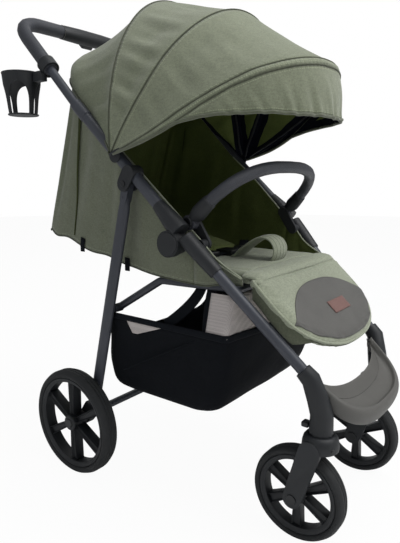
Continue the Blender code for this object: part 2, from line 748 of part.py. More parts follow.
def cup_holder(holder):
    """A tapered cage on a clamp behind the right-hand grip."""
    centre = Vector((CUP_CENTRE.x, CUP_CENTRE.y, CUP_TOP))
    low = -CUP_HEIGHT
    cup = turned("cup_holder", [
        (CUP_TOP_RADIUS - CUP_WALL, -0.0008), (CUP_TOP_RADIUS, 0), (CUP_TOP_RADIUS, -0.012),
        (CUP_LOW_RADIUS, low), (CUP_LOW_RADIUS - 0.010, low), (CUP_LOW_RADIUS - 0.010, low + CUP_WALL),
        (CUP_LOW_RADIUS - CUP_WALL, low + CUP_WALL), (CUP_TOP_RADIUS - CUP_WALL, -0.014),
    ], centre, (0, 0, 1), 32)
    for step in range(2):
        window = window_prism("cup_window_%d" % step, 0.0165, CUP_HEIGHT - 0.030)
        turn = Matrix.Rotation(math.pi * (step / 2 + 0.25), 4, "Z")
        window.data.transform(Matrix.Translation(centre + Vector((0, 0, low + CUP_WALL + 0.002))) @ turn)
        cut(cup, window)
    keep(smooth(cup), dark_plastic(), holder)

    grip_place = GRIP_START + HANDLE_DIR * 0.012
    clamp = cylinder("cup_clamp", at(RIGHT * FRAME_HALF_WIDTH, grip_place), at(0, HANDLE_DIR), 0.0215, 0.026, 24)
    reach = CUP_CENTRE.y - CUP_TOP_RADIUS
    neck = block("cup_neck", (CUP_CENTRE.x - 0.002, grip_place.x, CUP_TOP - 0.024),
                 (CUP_CENTRE.x + 0.016, reach + 0.020, CUP_TOP - 0.002))
    join(clamp, neck)
    cut(clamp, cylinder("clamp_bore", at(RIGHT * FRAME_HALF_WIDTH, grip_place), at(0, HANDLE_DIR),
                        GRIP_RADIUS + GAP, 0.12, 24))
    cut(clamp, cylinder("cup_seat", centre + Vector((0, 0, -0.03)), (0, 0, 1), CUP_TOP_RADIUS + GAP, 0.08, 32))
    keep(smooth(clamp), dark_plastic(), holder)


def window_prism(name, half_width, height):
    """A tall arched prism along X that goes right through the cup, standing on z = 0."""
    outline = [(-half_width, 0), (half_width, 0), (half_width, height * 0.45)]
    for step in range(1, 8):
        turn = math.pi * step / 8
        outline.append((half_width * math.cos(turn), height * (0.45 + 0.55 * math.sin(turn))))
    outline.append((-half_width, height * 0.45))
    return side_plate(name, outline, -0.08, 0.08)


def rear_frame():
    """Rear legs, axle and wheels, which swing on the upper frame."""
    holder = body("rear_frame_swing", 0, REAR_PIVOT)
    for side, label in SIDES:
        centre = side * FRAME_HALF_WIDTH
        down = (REAR_LEG_FOOT - REAR_PIVOT).normalized()
        fore = Vector((-down.y, down.x))
        rings = []
        depths = ((0.030, REAR_EYE_RADIUS), (0.060, REAR_LEG_DEPTH / 2), (0.300, REAR_LEG_DEPTH / 2),
                  ((REAR_LEG_FOOT - REAR_PIVOT).length, REAR_LEG_DEPTH / 2))
        for distance, half_depth in depths:
            ring = []
            for step in range(16):
                turn = math.tau * step / 16
                place = REAR_PIVOT + down * distance + fore * (math.cos(turn) * half_depth)
                ring.append(at(centre + math.sin(turn) * REAR_LEG_WIDTH / 2, place))
            rings.append(ring)
        leg = loft("rear_leg_" + label, rings)
        neck_foot = REAR_PIVOT + down * 0.034
        neck = side_plate("leg_eye_" + label, hull_outline([(REAR_PIVOT, REAR_EYE_RADIUS),
                          (neck_foot, REAR_EYE_RADIUS - 0.0015)]), centre - 0.0085, centre + 0.0085)
        join(leg, neck)
        keep(smooth(leg), frame_paint(), holder)
        rear_housing(side, label, holder)
    inner = FRAME_HALF_WIDTH - REAR_LEG_WIDTH / 2 - GAP
    bar = tube("rear_axle", [at(-inner, AXLE_BAR), at(inner, AXLE_BAR)], AXLE_BAR_RADIUS, 4)
    keep(smooth(bar), frame_paint(), holder)
    brake_pedal(holder)


def rear_housing(side, label, holder):
    """The moulded foot of a rear leg, with its stub axle and wheel."""
    centre = side * FRAME_HALF_WIDTH
    half = REAR_LEG_WIDTH / 2
    down = (REAR_LEG_FOOT - REAR_PIVOT).normalized()
    axle = Vector((REAR_AXLE_Y, REAR_RADIUS))
    outline = hull_outline([(REAR_LEG_FOOT - down * 0.002, 0.0200), (axle, 0.0175)])
    foot = side_plate("rear_housing_" + label, outline, centre - half, centre + half)
    above = REAR_LEG_FOOT + down * GAP
    fore = Vector((-down.y, down.x))
    crop = [above - fore * 0.05, above + fore * 0.05, above + fore * 0.05 - down * 0.06, above - fore * 0.05 - down * 0.06]
    cut(foot, side_plate("foot_crop_" + label, crop, centre - 0.02, centre + 0.02))
    inner_wheel = REAR_TRACK / 2 - REAR_TYRE_WIDTH / 2
    pin_reach = REAR_TRACK / 2 + REAR_TYRE_WIDTH / 2 - 0.008
    pin_start = FRAME_HALF_WIDTH
    pin = cylinder("rear_pin_" + label, at(side * (pin_start + pin_reach) / 2, axle), (1, 0, 0),
                   AXLE_PIN_RADIUS, pin_reach - pin_start, 16)
    collar = cylinder("rear_collar_" + label, at(side * (pin_start + inner_wheel - 0.001) / 2, axle), (1, 0, 0),
                      0.0120, inner_wheel - 0.001 - pin_start, 20)
    join(foot, collar, pin)
    keep(smooth(foot), dark_plastic(), holder)
    wheel_holder = body("rear_wheel_spin_" + label, side * REAR_TRACK / 2, axle)
    wheel_holder.parent = holder
    wheel_holder.matrix_parent_inverse = Matrix.Translation(holder.location).inverted()
    wheel("rear_" + label, at(side * REAR_TRACK / 2, axle), side, REAR_RADIUS, REAR_TYRE_WIDTH,
          REAR_TYRE_DEPTH, REAR_TYRE_WIDTH / 2 - 0.008, wheel_holder)


def brake_pedal(holder):
    """The foot pedal on the rear axle that locks both rear wheels."""
    pedal_holder = body("brake_pedal_pivot", 0, AXLE_BAR)
    pedal_holder.parent = holder
    pedal_holder.matrix_parent_inverse = Matrix.Translation(holder.location).inverted()
    ring = cylinder("brake_pedal", at(0, AXLE_BAR), (1, 0, 0), AXLE_BAR_RADIUS + 0.004, 0.060, 24)
    plate = block("pedal_plate", (-0.030, AXLE_BAR.x + 0.006, AXLE_BAR.y - 0.003),
                  (0.030, AXLE_BAR.x + 0.058, AXLE_BAR.y + 0.004))
    join(ring, plate)
    cut(ring, cylinder("pedal_bore", at(0, AXLE_BAR), (1, 0, 0), AXLE_BAR_RADIUS + GAP, 0.08, 24))
    keep(smooth(ring), dark_plastic(), pedal_holder)


def seat():
    """The link that carries the seat, with the seat pad, backrest, calf rest and harness buckle."""
    holder = body("seat_link_swing", 0, LINK_PIVOT)
    side_path = []
    for side in (RIGHT, LEFT):
        leg = [at(side * LINK_END_HALF_WIDTH, LINK_END), at(side * LINK_HALF_WIDTH, LINK_BEND),
               at(side * LINK_HALF_WIDTH, LINK_PIVOT)]
        side_path.append(bent(leg, 0.030, 4))
    link = tube("seat_link", side_path[0], LINK_RADIUS, 3)
    other = tube("seat_link_side", side_path[1], LINK_RADIUS, 3)
    cross_place = LINK_BEND + (LINK_PIVOT - LINK_BEND) * 0.12
    cross = tube("seat_cross", [at(-LINK_HALF_WIDTH, cross_place), at(LINK_HALF_WIDTH, cross_place)],
                 LINK_RADIUS * 0.85, 3)
    front = tube("seat_cross_front", [at(-LINK_HALF_WIDTH, LINK_PIVOT), at(LINK_HALF_WIDTH, LINK_PIVOT)],
                 LINK_RADIUS, 3)
    join(link, other, cross, front)
    leg_x = abs(leg_place(LEFT, (FRAME_BEND.x - LINK_PIVOT.x) * leg_length() / (FRAME_BEND.x - LEG_LOW.x)).x)
    for side, label in SIDES:
        reach = leg_x - LEG_RADIUS - 0.0028
        boss = cylinder("link_boss_" + label, at(side * (LINK_HALF_WIDTH + reach) / 2, LINK_PIVOT), (1, 0, 0),
                        LINK_RADIUS, reach - LINK_HALF_WIDTH, 16)
        end_reach = FRAME_HALF_WIDTH - REAR_LEG_WIDTH / 2 - RUN
        end_boss = cylinder("end_boss_" + label, at(side * (LINK_END_HALF_WIDTH - 0.004 + end_reach) / 2, LINK_END),
                            (1, 0, 0), LINK_RADIUS + 0.001, end_reach - LINK_END_HALF_WIDTH + 0.004, 16)
        join(link, boss, end_boss)
    keep(smooth(link), frame_paint(), holder)

    low = LINK_PIVOT.y + LINK_RADIUS + GAP
    pad = block("seat_pad", (-SEAT_HALF_WIDTH, SEAT_FRONT_Y, low), (SEAT_HALF_WIDTH, SEAT_REAR_Y, low + SEAT_THICKNESS))
    soften(pad, 0.008)
    keep(pad, pad_cloth(), holder)
    backrest(holder, low)
    calf_rest(holder, low)
    harness(holder, low + SEAT_THICKNESS)


def soften(item, width, segments=2):
    """Round the edges of a cushion."""
    bevel = item.modifiers.new("round_edges", "BEVEL")
    bevel.width = width
    bevel.segments = segments
    bevel.limit_method = "ANGLE"


def backrest(parent, low):
    """The padded back, which lies back in the photograph and hinges up from the rear of the seat."""
    half = BACK_THICKNESS / 2
    pivot = Vector((SEAT_REAR_Y + half + GAP, low + SEAT_THICKNESS / 2))
    holder = body("backrest_recline", 0, pivot)
    holder.parent = parent
    holder.matrix_parent_inverse = Matrix.Translation(parent.location).inverted()
    board = block("backrest", (-BACK_HALF_WIDTH, -half, -half), (BACK_HALF_WIDTH, BACK_LENGTH, half))
    board.data.transform(Matrix.Translation(at(0, pivot)) @ Matrix.Rotation(BACK_ANGLE, 4, "X"))
    soften(board, half - 0.0004, 3)
    keep(board, green_cloth(), holder)


def calf_rest(parent, low):
    """The padded flap that hangs from the front of the seat."""
    top = Vector((SEAT_FRONT_Y - CALF_THICKNESS / 2 - GAP, low + SEAT_THICKNESS - CALF_THICKNESS / 2 - 0.003))
    holder = body("calf_rest_tilt", 0, top)
    holder.parent = parent
    holder.matrix_parent_inverse = Matrix.Translation(parent.location).inverted()
    half = CALF_THICKNESS / 2
    along_places = [-half, -half * 0.87, -half * 0.5] + [CALF_LENGTH * share for share in CALF_ALONG]
    fullnesses = (0.15, 0.50, 0.87, 1.0, 1.0, 1.0, 1.0, 1.0, 0.75, 0.30)
    rings = []
    for along, inset, fullness in zip(along_places, CALF_INSETS, fullnesses):
        width = CALF_HALF_WIDTH - inset
        ring = []
        for side in (LEFT, RIGHT):
            for step in range(7):
                turn = math.pi * (step / 6 - 0.5)
                rise = side * math.sin(turn) * half * fullness
                across = side * (width - half + math.cos(turn) * half * fullness)
                ring.append(Vector((across, along, rise)))
        rings.append(ring)
    flap = loft("calf_rest", rings)
    flap.data.transform(Matrix.Translation(at(0, top)) @ Matrix.Rotation(math.pi + CALF_ANGLE, 4, "X"))
    keep(smooth(flap), grey_plastic(), holder)


def harness(holder, seat_top):
    """The crotch pad, which arches up from the seat, and the buckle behind it."""
    start = Vector((CROTCH_START, seat_top + GAP))
    rise = CROTCH_RISE
    span = CROTCH_SPAN
    half = CROTCH_HALF_WIDTH
    rings = []
    for step in range(11):
        turn = math.pi * step / 10
        place = start + Vector((-span / 2 + span / 2 * math.cos(turn), rise * math.sin(turn)))
        tangent = Vector((-span / 2 * math.sin(turn), rise * math.cos(turn))).normalized()
        normal = Vector((-tangent.y, tangent.x)) * (CROTCH_THICKNESS / 2)
        rings.append([at(x, place + normal * way) for x, way in ((-half, -1), (half, -1), (half, 1), (-half, 1))])
    arch = loft("crotch_pad", rings)
    keep(smooth(arch), pad_cloth(), holder)
    clip = block("harness_buckle", (-half, BUCKLE_FRONT, seat_top + GAP), (half, BUCKLE_REAR, seat_top + BUCKLE_HEIGHT))
    soften(clip, 0.003)
    keep(clip, dark_plastic(), holder)


def seat_shell():
    """The deep cloth sides and back of the seat, open at the top."""
    rows = []
    for side, run in ((RIGHT, SHELL_STATIONS), (LEFT, tuple(reversed(SHELL_STATIONS)))):
        for low_place, top_place in run:
            low, top = [Vector((side * (SHELL_HALF_WIDTH - inset), y, z)) for inset, y, z in (low_place, top_place)]
            rows.append([low.lerp(top, step / 3) for step in range(4)])
    shell = cloth("seat_shell", rows, SHELL_THICKNESS, at(0, REAR_PIVOT))
    keep(smooth(shell), green_cloth(), bpy.data.objects["frame_fold"])


def bumper_bar():
    """The padded bar across the seat, on its two brackets and release buttons."""
    holder = body("bumper_swing", 0, BUMPER_PIVOT)
    points = [hoop_place(BUMPER_PIVOT, BUMPER_HOOP, BUMPER_HALF_WIDTH, math.pi * step / 24, BUMPER_POWER)
              for step in range(25)]
    bar = tube("bumper_bar", points, BUMPER_RADIUS, 4)
    tongue_outer = BUMPER_HALF_WIDTH - 0.009
    for side, label in SIDES:
        knuckle = cylinder("bumper_knuckle_" + label, at(side * BUMPER_HALF_WIDTH, BUMPER_PIVOT), (1, 0, 0),
                           0.0155, 0.0200, 24)
        join(bar, knuckle)
        clear = cylinder("tongue_room_" + label, at(side * (tongue_outer - 0.015), BUMPER_PIVOT), (1, 0, 0),
                         0.024, 0.030 + 2 * GAP, 24)
        cut(bar, clear)
        socket = cylinder("button_socket_" + label, at(side * (BUMPER_HALF_WIDTH + 0.0085), BUMPER_PIVOT),
                          (1, 0, 0), 0.0078, 0.012, 20)
        cut(bar, socket)
        button_holder = body("bumper_button_slide_" + label, side * BUMPER_HALF_WIDTH, BUMPER_PIVOT)
        button_holder.parent = holder
        button_holder.matrix_parent_inverse = Matrix.Translation(holder.location).inverted()
        button = cylinder("bumper_button_" + label, at(side * (BUMPER_HALF_WIDTH + 0.0080), BUMPER_PIVOT),
                          (1, 0, 0), 0.0075, 0.0040, 20)
        keep(smooth(button), dark_plastic(), button_holder)
        bumper_mount(side, label, tongue_outer)
    keep(smooth(bar), grip_foam(), holder)


def bumper_mount(side, label, outer):
    """The bracket that stands on the fold joint's sleeve and carries the bumper bar."""
    foot = Vector((FRAME_BEND.x - 0.022, FRAME_BEND.y - 0.018))
    plate = side_plate("bumper_mount_" + label, hull_outline([(BUMPER_PIVOT, 0.0130), (foot, 0.0120)]),
                       min(side * (outer - 0.008), side * outer), max(side * (outer - 0.008), side * outer))
    boss = cylinder("mount_boss_" + label, at(side * (outer + 0.010), foot), (1, 0, 0), 0.0100, 0.030, 20)
    join(plate, boss)
    cut(plate, tube("mount_seat_" + label, [leg_place(side, 0.002), leg_place(side, 0.045),
                    leg_place(side, SLEEVE_LENGTH)], [0.0175 + GAP, 0.0170 + GAP, 0.0150 + GAP], 4))
    outside = block("mount_crop_" + label, (0, -0.2, 0.5), (0.05, 0.0, 0.7))
    outside.data.transform(Matrix.Translation((side * (outer + 0.0425) - 0.025, 0, 0)))
    cut(plate, outside)
    keep(smooth(plate), dark_plastic(), None)


def hoop_place(pivot, hoop, half_width, turn, power):
    """A place on a hoop that stands on pivot, given its (angle, length), half width and how far round it is."""
    angle, length = hoop
    across = abs(math.cos(turn)) ** (2 / power) * half_width
    rise = max(0.0, math.sin(turn)) ** (2 / power) * length
    heading = Vector((math.cos(angle), math.sin(angle)))
    return at(-math.copysign(across, math.cos(turn)), pivot + heading * rise)


def canopy_place(hoop, half_width, power, turn, inset=0.0, ahead=0.0):
    """A place on a canopy hoop, at an inset towards the pivot and a small way ahead of the hoop's plane."""
    angle, length = hoop
    place = hoop_place(CANOPY_PIVOT, (angle, length - inset), half_width - inset, turn, power)
    return place + at(0, Vector((-math.sin(angle), math.cos(angle))) * ahead)


def hoop_turns(start, length, power, count):
    """Steps round a hoop that leave out the part nearer to the pivot than start."""
    first = math.asin((start / length) ** (power / 2))
    return [first + (math.pi - 2 * first) * step / (count - 1) for step in range(count)]


def canopy():
    """Three hoops, the cloth between them and the peak in front."""
    frame = bpy.data.objects["frame_fold"]
    mid = body("canopy_mid_hinge", 0, CANOPY_PIVOT)
    front = body("canopy_front_hinge", 0, CANOPY_PIVOT)
    mid.parent = frame
    mid.matrix_parent_inverse = Matrix.Translation(frame.location).inverted()
    front.parent = mid
    front.matrix_parent_inverse = Matrix.Translation(mid.location).inverted()
    stack = FRAME_HALF_WIDTH + UPPER_TUBE_RADIUS + 2 * GAP + 0.002 + BOW_RADIUS
    pitch = 2 * (BOW_RADIUS + GAP)
    for name, hoop, order, holder in (
        ("bow_rear", BOW_REAR, 0, frame), ("bow_mid", BOW_MID, 1, mid), ("bow_front", BOW_FRONT, 2, front),
    ):
        foot_x = stack + order * pitch
        heading = Vector((math.cos(hoop[0]), math.sin(hoop[0])))
        low = [at(-foot_x, CANOPY_PIVOT), at(-foot_x, CANOPY_PIVOT + heading * (HUB_DISC_RADIUS + 0.002))]
        half_width = CANOPY_HALF_WIDTH - (2 - order) * pitch
        path = [canopy_place(hoop, half_width, HOOP_POWER, turn, BOW_INSET)
                for turn in hoop_turns(PANEL_START - 0.002, hoop[1], HOOP_POWER, 23)]
        high = [Vector((-place.x, place.y, place.z)) for place in reversed(low)]
        bow = tube(name, low + path + high, BOW_RADIUS, 2)
        keep(smooth(bow), dark_plastic(), holder)
    hem = [(hoop, REAR_EDGE_HALF_WIDTH, REAR_EDGE_POWER, REAR_EDGE_START) for hoop in (REAR_HEM, REAR_EDGE)]
    rear, middle, ahead, brim = [(hoop, CANOPY_HALF_WIDTH, HOOP_POWER, PANEL_START)
                                 for hoop in (BOW_REAR, BOW_MID, BOW_FRONT, BRIM)]
    canopy_panel("canopy_rear", hem + [rear], frame)
    canopy_panel("canopy_back", [rear, middle], frame)
    canopy_panel("canopy_front", [middle, ahead], mid)
    canopy_panel("canopy_peak", [ahead, brim], front)


def canopy_panel(name, hoops, holder):
    """A sheet skinned from hoop to hoop, whose ends lie in the planes of its first and last hoops."""
    count = 25
    layers = []
    for inset in (0.0, FABRIC):
        lines = []
        for index, (hoop, half_width, power, start) in enumerate(hoops):
            ahead = GAP / 2 if index == 0 else -GAP / 2 if index == len(hoops) - 1 else 0.0
            lines.append([canopy_place(hoop, half_width, power, turn, inset, ahead)
                          for turn in hoop_turns(start, hoop[1], power, count)])
        rows = []
        for station in range(count):
            row = [lines[0][station]]
            for first, second in zip(lines, lines[1:]):
                row += [first[station].lerp(second[station], step / 3) for step in (1, 2, 3)]
            rows.append(row)
        layers.append(rows)

    def build(bm):
        outer, inner = [[[bm.verts.new(place) for place in row] for row in rows] for rows in layers]
        for first, second in zip(range(count - 1), range(1, count)):
            for step in range(len(outer[0]) - 1):
                bm.faces.new((outer[first][step], outer[first][step + 1], outer[second][step + 1], outer[second][step]))
                bm.faces.new((inner[first][step], inner[second][step], inner[second][step + 1], inner[first][step + 1]))
            for step in (0, -1):
                bm.faces.new((outer[first][step], outer[second][step], inner[second][step], inner[first][step]))
        for station in (0, -1):
            for step in range(len(outer[0]) - 1):
                bm.faces.new((outer[station][step], inner[station][step], inner[station][step + 1],
                              outer[station][step + 1]))
        bmesh.ops.recalc_face_normals(bm, faces=bm.faces)
    keep(smooth(new_mesh(name, build)), green_cloth(), holder)


def basket():
    """The cloth tub under the seat, open at the top."""
    def ring(z, front, rear, side_inset, corner, inset):
        width = BASKET_HALF_WIDTH - side_inset - inset
        low = front + inset
        high = rear - inset
        points = []
        for centre_x, centre_y, start in ((1, 1, 0), (-1, 1, 1), (-1, -1, 2), (1, -1, 3)):
            middle = Vector((centre_x * (width - corner), (high - corner) if centre_y > 0 else (low + corner)))
            for step in range(4):
                turn = math.pi / 2 * (start + step / 3)
                points.append(Vector((middle.x + corner * math.cos(turn), middle.y + corner * math.sin(turn), z)))
        return points
    outer = [ring(*level, 0) for level in BASKET_LEVELS]
    inner = [ring(z + (BASKET_WALL if z == BASKET_LEVELS[0][0] else 0), front, rear, side_inset, corner, BASKET_WALL)
             for z, front, rear, side_inset, corner in reversed(BASKET_LEVELS)]
    tub = loft("basket", outer + inner)
    keep(smooth(tub), basket_cloth(), bpy.data.objects["rear_frame_swing"])


def build():
    start_clean()
    front_frame()
    forks()
    upper_frame()
    rear_frame()
    seat()
    seat_shell()
    bumper_bar()
    canopy()
    basket()


build()
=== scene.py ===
"""Looks for a folding all-terrain pushchair: cloth, padding, wheels, trim and the studio it stands in.

Metres, +Z up. The front points to -Y and the right-hand side to -X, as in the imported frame.
"""
import json
import math

import bmesh
import bpy
from mathutils import Matrix, Vector, noise
from mathutils.bvhtree import BVHTree
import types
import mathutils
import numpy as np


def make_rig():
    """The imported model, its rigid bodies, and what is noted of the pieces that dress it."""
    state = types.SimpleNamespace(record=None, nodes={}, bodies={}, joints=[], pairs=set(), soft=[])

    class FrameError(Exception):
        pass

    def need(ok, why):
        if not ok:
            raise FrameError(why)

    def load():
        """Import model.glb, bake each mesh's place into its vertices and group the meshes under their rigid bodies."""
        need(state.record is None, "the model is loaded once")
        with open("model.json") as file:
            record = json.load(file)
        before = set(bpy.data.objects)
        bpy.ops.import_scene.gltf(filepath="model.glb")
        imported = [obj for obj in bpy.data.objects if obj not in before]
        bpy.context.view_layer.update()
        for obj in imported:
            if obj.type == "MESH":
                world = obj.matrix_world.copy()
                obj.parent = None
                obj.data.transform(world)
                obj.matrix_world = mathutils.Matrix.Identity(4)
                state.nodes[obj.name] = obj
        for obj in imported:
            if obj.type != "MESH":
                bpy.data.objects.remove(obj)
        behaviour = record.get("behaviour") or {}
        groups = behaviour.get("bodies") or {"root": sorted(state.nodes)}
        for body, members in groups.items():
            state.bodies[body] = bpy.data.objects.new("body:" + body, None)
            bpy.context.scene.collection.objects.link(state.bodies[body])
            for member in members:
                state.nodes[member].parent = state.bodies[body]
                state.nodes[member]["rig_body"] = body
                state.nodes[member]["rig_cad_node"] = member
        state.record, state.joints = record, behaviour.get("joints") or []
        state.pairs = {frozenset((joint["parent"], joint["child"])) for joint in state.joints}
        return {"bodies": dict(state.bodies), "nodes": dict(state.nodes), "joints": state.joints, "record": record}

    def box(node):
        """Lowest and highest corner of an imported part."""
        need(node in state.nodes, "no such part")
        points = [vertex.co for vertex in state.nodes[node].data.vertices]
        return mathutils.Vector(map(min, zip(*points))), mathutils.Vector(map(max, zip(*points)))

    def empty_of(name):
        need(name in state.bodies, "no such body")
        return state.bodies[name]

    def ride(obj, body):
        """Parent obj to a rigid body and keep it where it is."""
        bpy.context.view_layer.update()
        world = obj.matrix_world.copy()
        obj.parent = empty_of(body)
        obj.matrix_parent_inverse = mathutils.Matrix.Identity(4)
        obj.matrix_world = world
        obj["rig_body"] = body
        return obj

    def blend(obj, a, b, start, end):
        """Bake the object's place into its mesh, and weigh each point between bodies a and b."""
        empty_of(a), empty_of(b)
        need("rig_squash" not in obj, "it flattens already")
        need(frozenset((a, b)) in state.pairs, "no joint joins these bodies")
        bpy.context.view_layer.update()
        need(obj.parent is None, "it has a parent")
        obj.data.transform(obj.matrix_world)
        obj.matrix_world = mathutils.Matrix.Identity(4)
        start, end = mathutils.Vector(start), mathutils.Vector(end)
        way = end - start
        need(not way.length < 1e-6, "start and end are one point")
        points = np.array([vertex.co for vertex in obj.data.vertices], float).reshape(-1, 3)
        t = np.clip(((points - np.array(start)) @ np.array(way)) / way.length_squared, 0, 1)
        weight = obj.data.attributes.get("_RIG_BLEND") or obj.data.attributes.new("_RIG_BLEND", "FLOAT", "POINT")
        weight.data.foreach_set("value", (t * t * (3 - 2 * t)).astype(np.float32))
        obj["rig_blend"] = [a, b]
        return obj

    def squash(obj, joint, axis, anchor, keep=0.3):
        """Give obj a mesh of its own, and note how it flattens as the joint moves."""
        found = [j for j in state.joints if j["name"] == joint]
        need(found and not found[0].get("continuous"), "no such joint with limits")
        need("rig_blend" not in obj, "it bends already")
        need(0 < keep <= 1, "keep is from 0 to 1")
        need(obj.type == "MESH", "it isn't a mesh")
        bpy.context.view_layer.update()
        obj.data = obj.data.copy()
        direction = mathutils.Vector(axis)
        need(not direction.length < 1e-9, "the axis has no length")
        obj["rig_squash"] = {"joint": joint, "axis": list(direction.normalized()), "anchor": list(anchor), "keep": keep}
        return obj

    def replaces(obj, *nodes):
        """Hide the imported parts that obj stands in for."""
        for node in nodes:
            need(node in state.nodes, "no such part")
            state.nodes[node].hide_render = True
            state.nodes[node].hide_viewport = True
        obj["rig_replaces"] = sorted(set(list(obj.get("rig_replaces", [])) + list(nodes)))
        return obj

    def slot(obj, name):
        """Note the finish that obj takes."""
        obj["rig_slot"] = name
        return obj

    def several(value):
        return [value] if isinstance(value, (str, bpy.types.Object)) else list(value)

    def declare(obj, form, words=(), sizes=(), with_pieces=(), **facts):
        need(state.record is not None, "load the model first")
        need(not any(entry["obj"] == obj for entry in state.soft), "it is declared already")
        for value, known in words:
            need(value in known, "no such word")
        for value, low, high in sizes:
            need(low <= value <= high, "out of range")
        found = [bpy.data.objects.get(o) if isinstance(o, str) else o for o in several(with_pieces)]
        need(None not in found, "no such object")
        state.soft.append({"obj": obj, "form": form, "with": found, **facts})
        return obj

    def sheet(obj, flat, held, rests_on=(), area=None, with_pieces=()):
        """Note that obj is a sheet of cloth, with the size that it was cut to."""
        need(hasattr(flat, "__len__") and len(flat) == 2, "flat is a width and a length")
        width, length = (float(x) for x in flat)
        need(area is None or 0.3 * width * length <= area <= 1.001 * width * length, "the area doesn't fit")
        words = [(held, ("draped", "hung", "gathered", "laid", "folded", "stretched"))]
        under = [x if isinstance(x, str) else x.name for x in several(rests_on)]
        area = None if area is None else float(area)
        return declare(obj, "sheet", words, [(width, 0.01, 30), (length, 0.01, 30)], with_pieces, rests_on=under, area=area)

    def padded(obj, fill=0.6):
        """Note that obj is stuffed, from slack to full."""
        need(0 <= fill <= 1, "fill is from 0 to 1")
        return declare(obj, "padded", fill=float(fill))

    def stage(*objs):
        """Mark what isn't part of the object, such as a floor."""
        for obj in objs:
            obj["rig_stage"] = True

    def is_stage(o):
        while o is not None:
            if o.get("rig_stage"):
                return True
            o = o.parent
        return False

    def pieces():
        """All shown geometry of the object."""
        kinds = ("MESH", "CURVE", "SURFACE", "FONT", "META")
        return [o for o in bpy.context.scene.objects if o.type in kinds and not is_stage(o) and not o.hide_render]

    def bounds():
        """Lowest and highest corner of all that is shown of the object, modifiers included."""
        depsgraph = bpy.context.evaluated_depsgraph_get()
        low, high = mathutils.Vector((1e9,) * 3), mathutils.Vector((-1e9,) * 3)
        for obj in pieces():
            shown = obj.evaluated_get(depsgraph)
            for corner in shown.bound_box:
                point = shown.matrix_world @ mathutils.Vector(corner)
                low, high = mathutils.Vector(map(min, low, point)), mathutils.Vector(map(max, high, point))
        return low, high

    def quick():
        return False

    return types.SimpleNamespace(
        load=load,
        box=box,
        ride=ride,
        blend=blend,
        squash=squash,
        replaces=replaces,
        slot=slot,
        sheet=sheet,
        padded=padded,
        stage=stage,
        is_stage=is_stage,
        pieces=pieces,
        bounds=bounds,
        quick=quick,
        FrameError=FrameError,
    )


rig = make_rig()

bl_info = {
    "name": "Pushchair dresser",
    "version": (1, 0, 0),
    "blender": (4, 5, 0),
    "location": "3D View > Sidebar > Pushchair",
    "description": "Builds the cloth, padding, wheels and trim of a folding pushchair",
    "category": "Object",
}

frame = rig.load()
CAD_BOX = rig.bounds()

# What several pieces share: the sides as (direction in X, word, letter), the places of the joints, the width of a
# small rounded edge, and the distances under which points are merged
SIDES = ((-1, "right", "r"), (1, "left", "l"))
PIVOTS = {joint["name"]: joint["pos_m"] for joint in frame["joints"] if joint.get("pos_m")}
FINE_EDGE = 0.0006
MERGE, SPIN_MERGE, WELD = 0.00005, 0.00001, 0.00004


def srgb(red, green, blue):
    """A linear colour from 0 to 255 sRGB numbers."""
    def linear(value):
        share = value / 255
        return share / 12.92 if share <= 0.04045 else ((share + 0.055) / 1.055) ** 2.4
    return linear(red), linear(green), linear(blue)


def colour(name, text, red, green, blue):
    return bpy.props.FloatVectorProperty(name=name, description=text, subtype="COLOR", size=3,
                                         default=srgb(red, green, blue), min=0.0, max=1.0)


def length(name, text, value):
    return bpy.props.FloatProperty(name=name, description=text, default=value, unit="LENGTH", min=0.0)


def strength(name, text, value):
    return bpy.props.FloatProperty(name=name, description=text, default=value, min=0.0)


class ClothSettings(bpy.types.PropertyGroup):
    canopy: colour("Canopy", "Melange cloth of the canopy and the outside of the seat", 122, 128, 106)
    pad: colour("Seat pad", "Melange cloth of the seat, calf rest and crotch pad", 144, 150, 130)
    lining: colour("Lining", "Cloth inside the seat and the canopy", 88, 98, 54)
    sleeve: colour("Hoop sleeves", "Dark sleeves inside the canopy", 16, 19, 32)
    basket: colour("Basket", "Woven cloth of the basket", 13, 16, 21)
    mesh: colour("Mesh", "Fine mesh windows of the basket", 205, 197, 194)
    thickness: length("Cloth thickness", "Thickness of a single sheet of cloth", 0.0016)
    shell: length("Shell thickness", "Thickness of the cloth round the seat", 0.0022)
    piping: length("Piping radius", "Radius of the piped seams", 0.0017)


class HardSettings(bpy.types.PropertyGroup):
    paint: colour("Frame paint", "Coating of the tubes", 54, 57, 65)
    moulding: colour("Mouldings", "Dark moulded parts", 23, 26, 30)
    grey: colour("Grey mouldings", "Footrest and calf patch", 90, 89, 86)
    tyre: colour("Tyres", "Foam rubber of the tyres", 27, 29, 31)
    cover: colour("Grip cover", "Leather-like cover of the bar and grips", 54, 56, 63)
    tag: colour("Tag", "Plain sewn tag on the calf rest", 122, 94, 89)


class StageSettings(bpy.types.PropertyGroup):
    floor: colour("Floor", "Studio floor and backdrop", 250, 250, 250)
    key: strength("Key lamp", "Power of the large lamp", 54.0)
    top: strength("Top lamp", "Power of the lamp above the canopy", 42.0)
    fill: strength("Fill lamp", "Power of the side lamp", 7.0)
    sky: strength("Sky", "Strength of the even light", 0.33)


# Materials

def fill(tree, made, values):
    """Fill or link a node's inputs from values, by name or number."""
    for name, value in values.items():
        if isinstance(value, bpy.types.NodeSocket):
            tree.links.new(value, made.inputs[name])
        else:
            made.inputs[name].default_value = value


def node(tree, kind, values, **settings):
    """A new shader node, with its settings and its inputs."""
    made = tree.nodes.new("ShaderNode" + kind)
    for name, value in settings.items():
        setattr(made, name, value)
    fill(tree, made, values)
    return made


def shade(base, factor):
    return tuple(min(1.0, part * factor) for part in base)


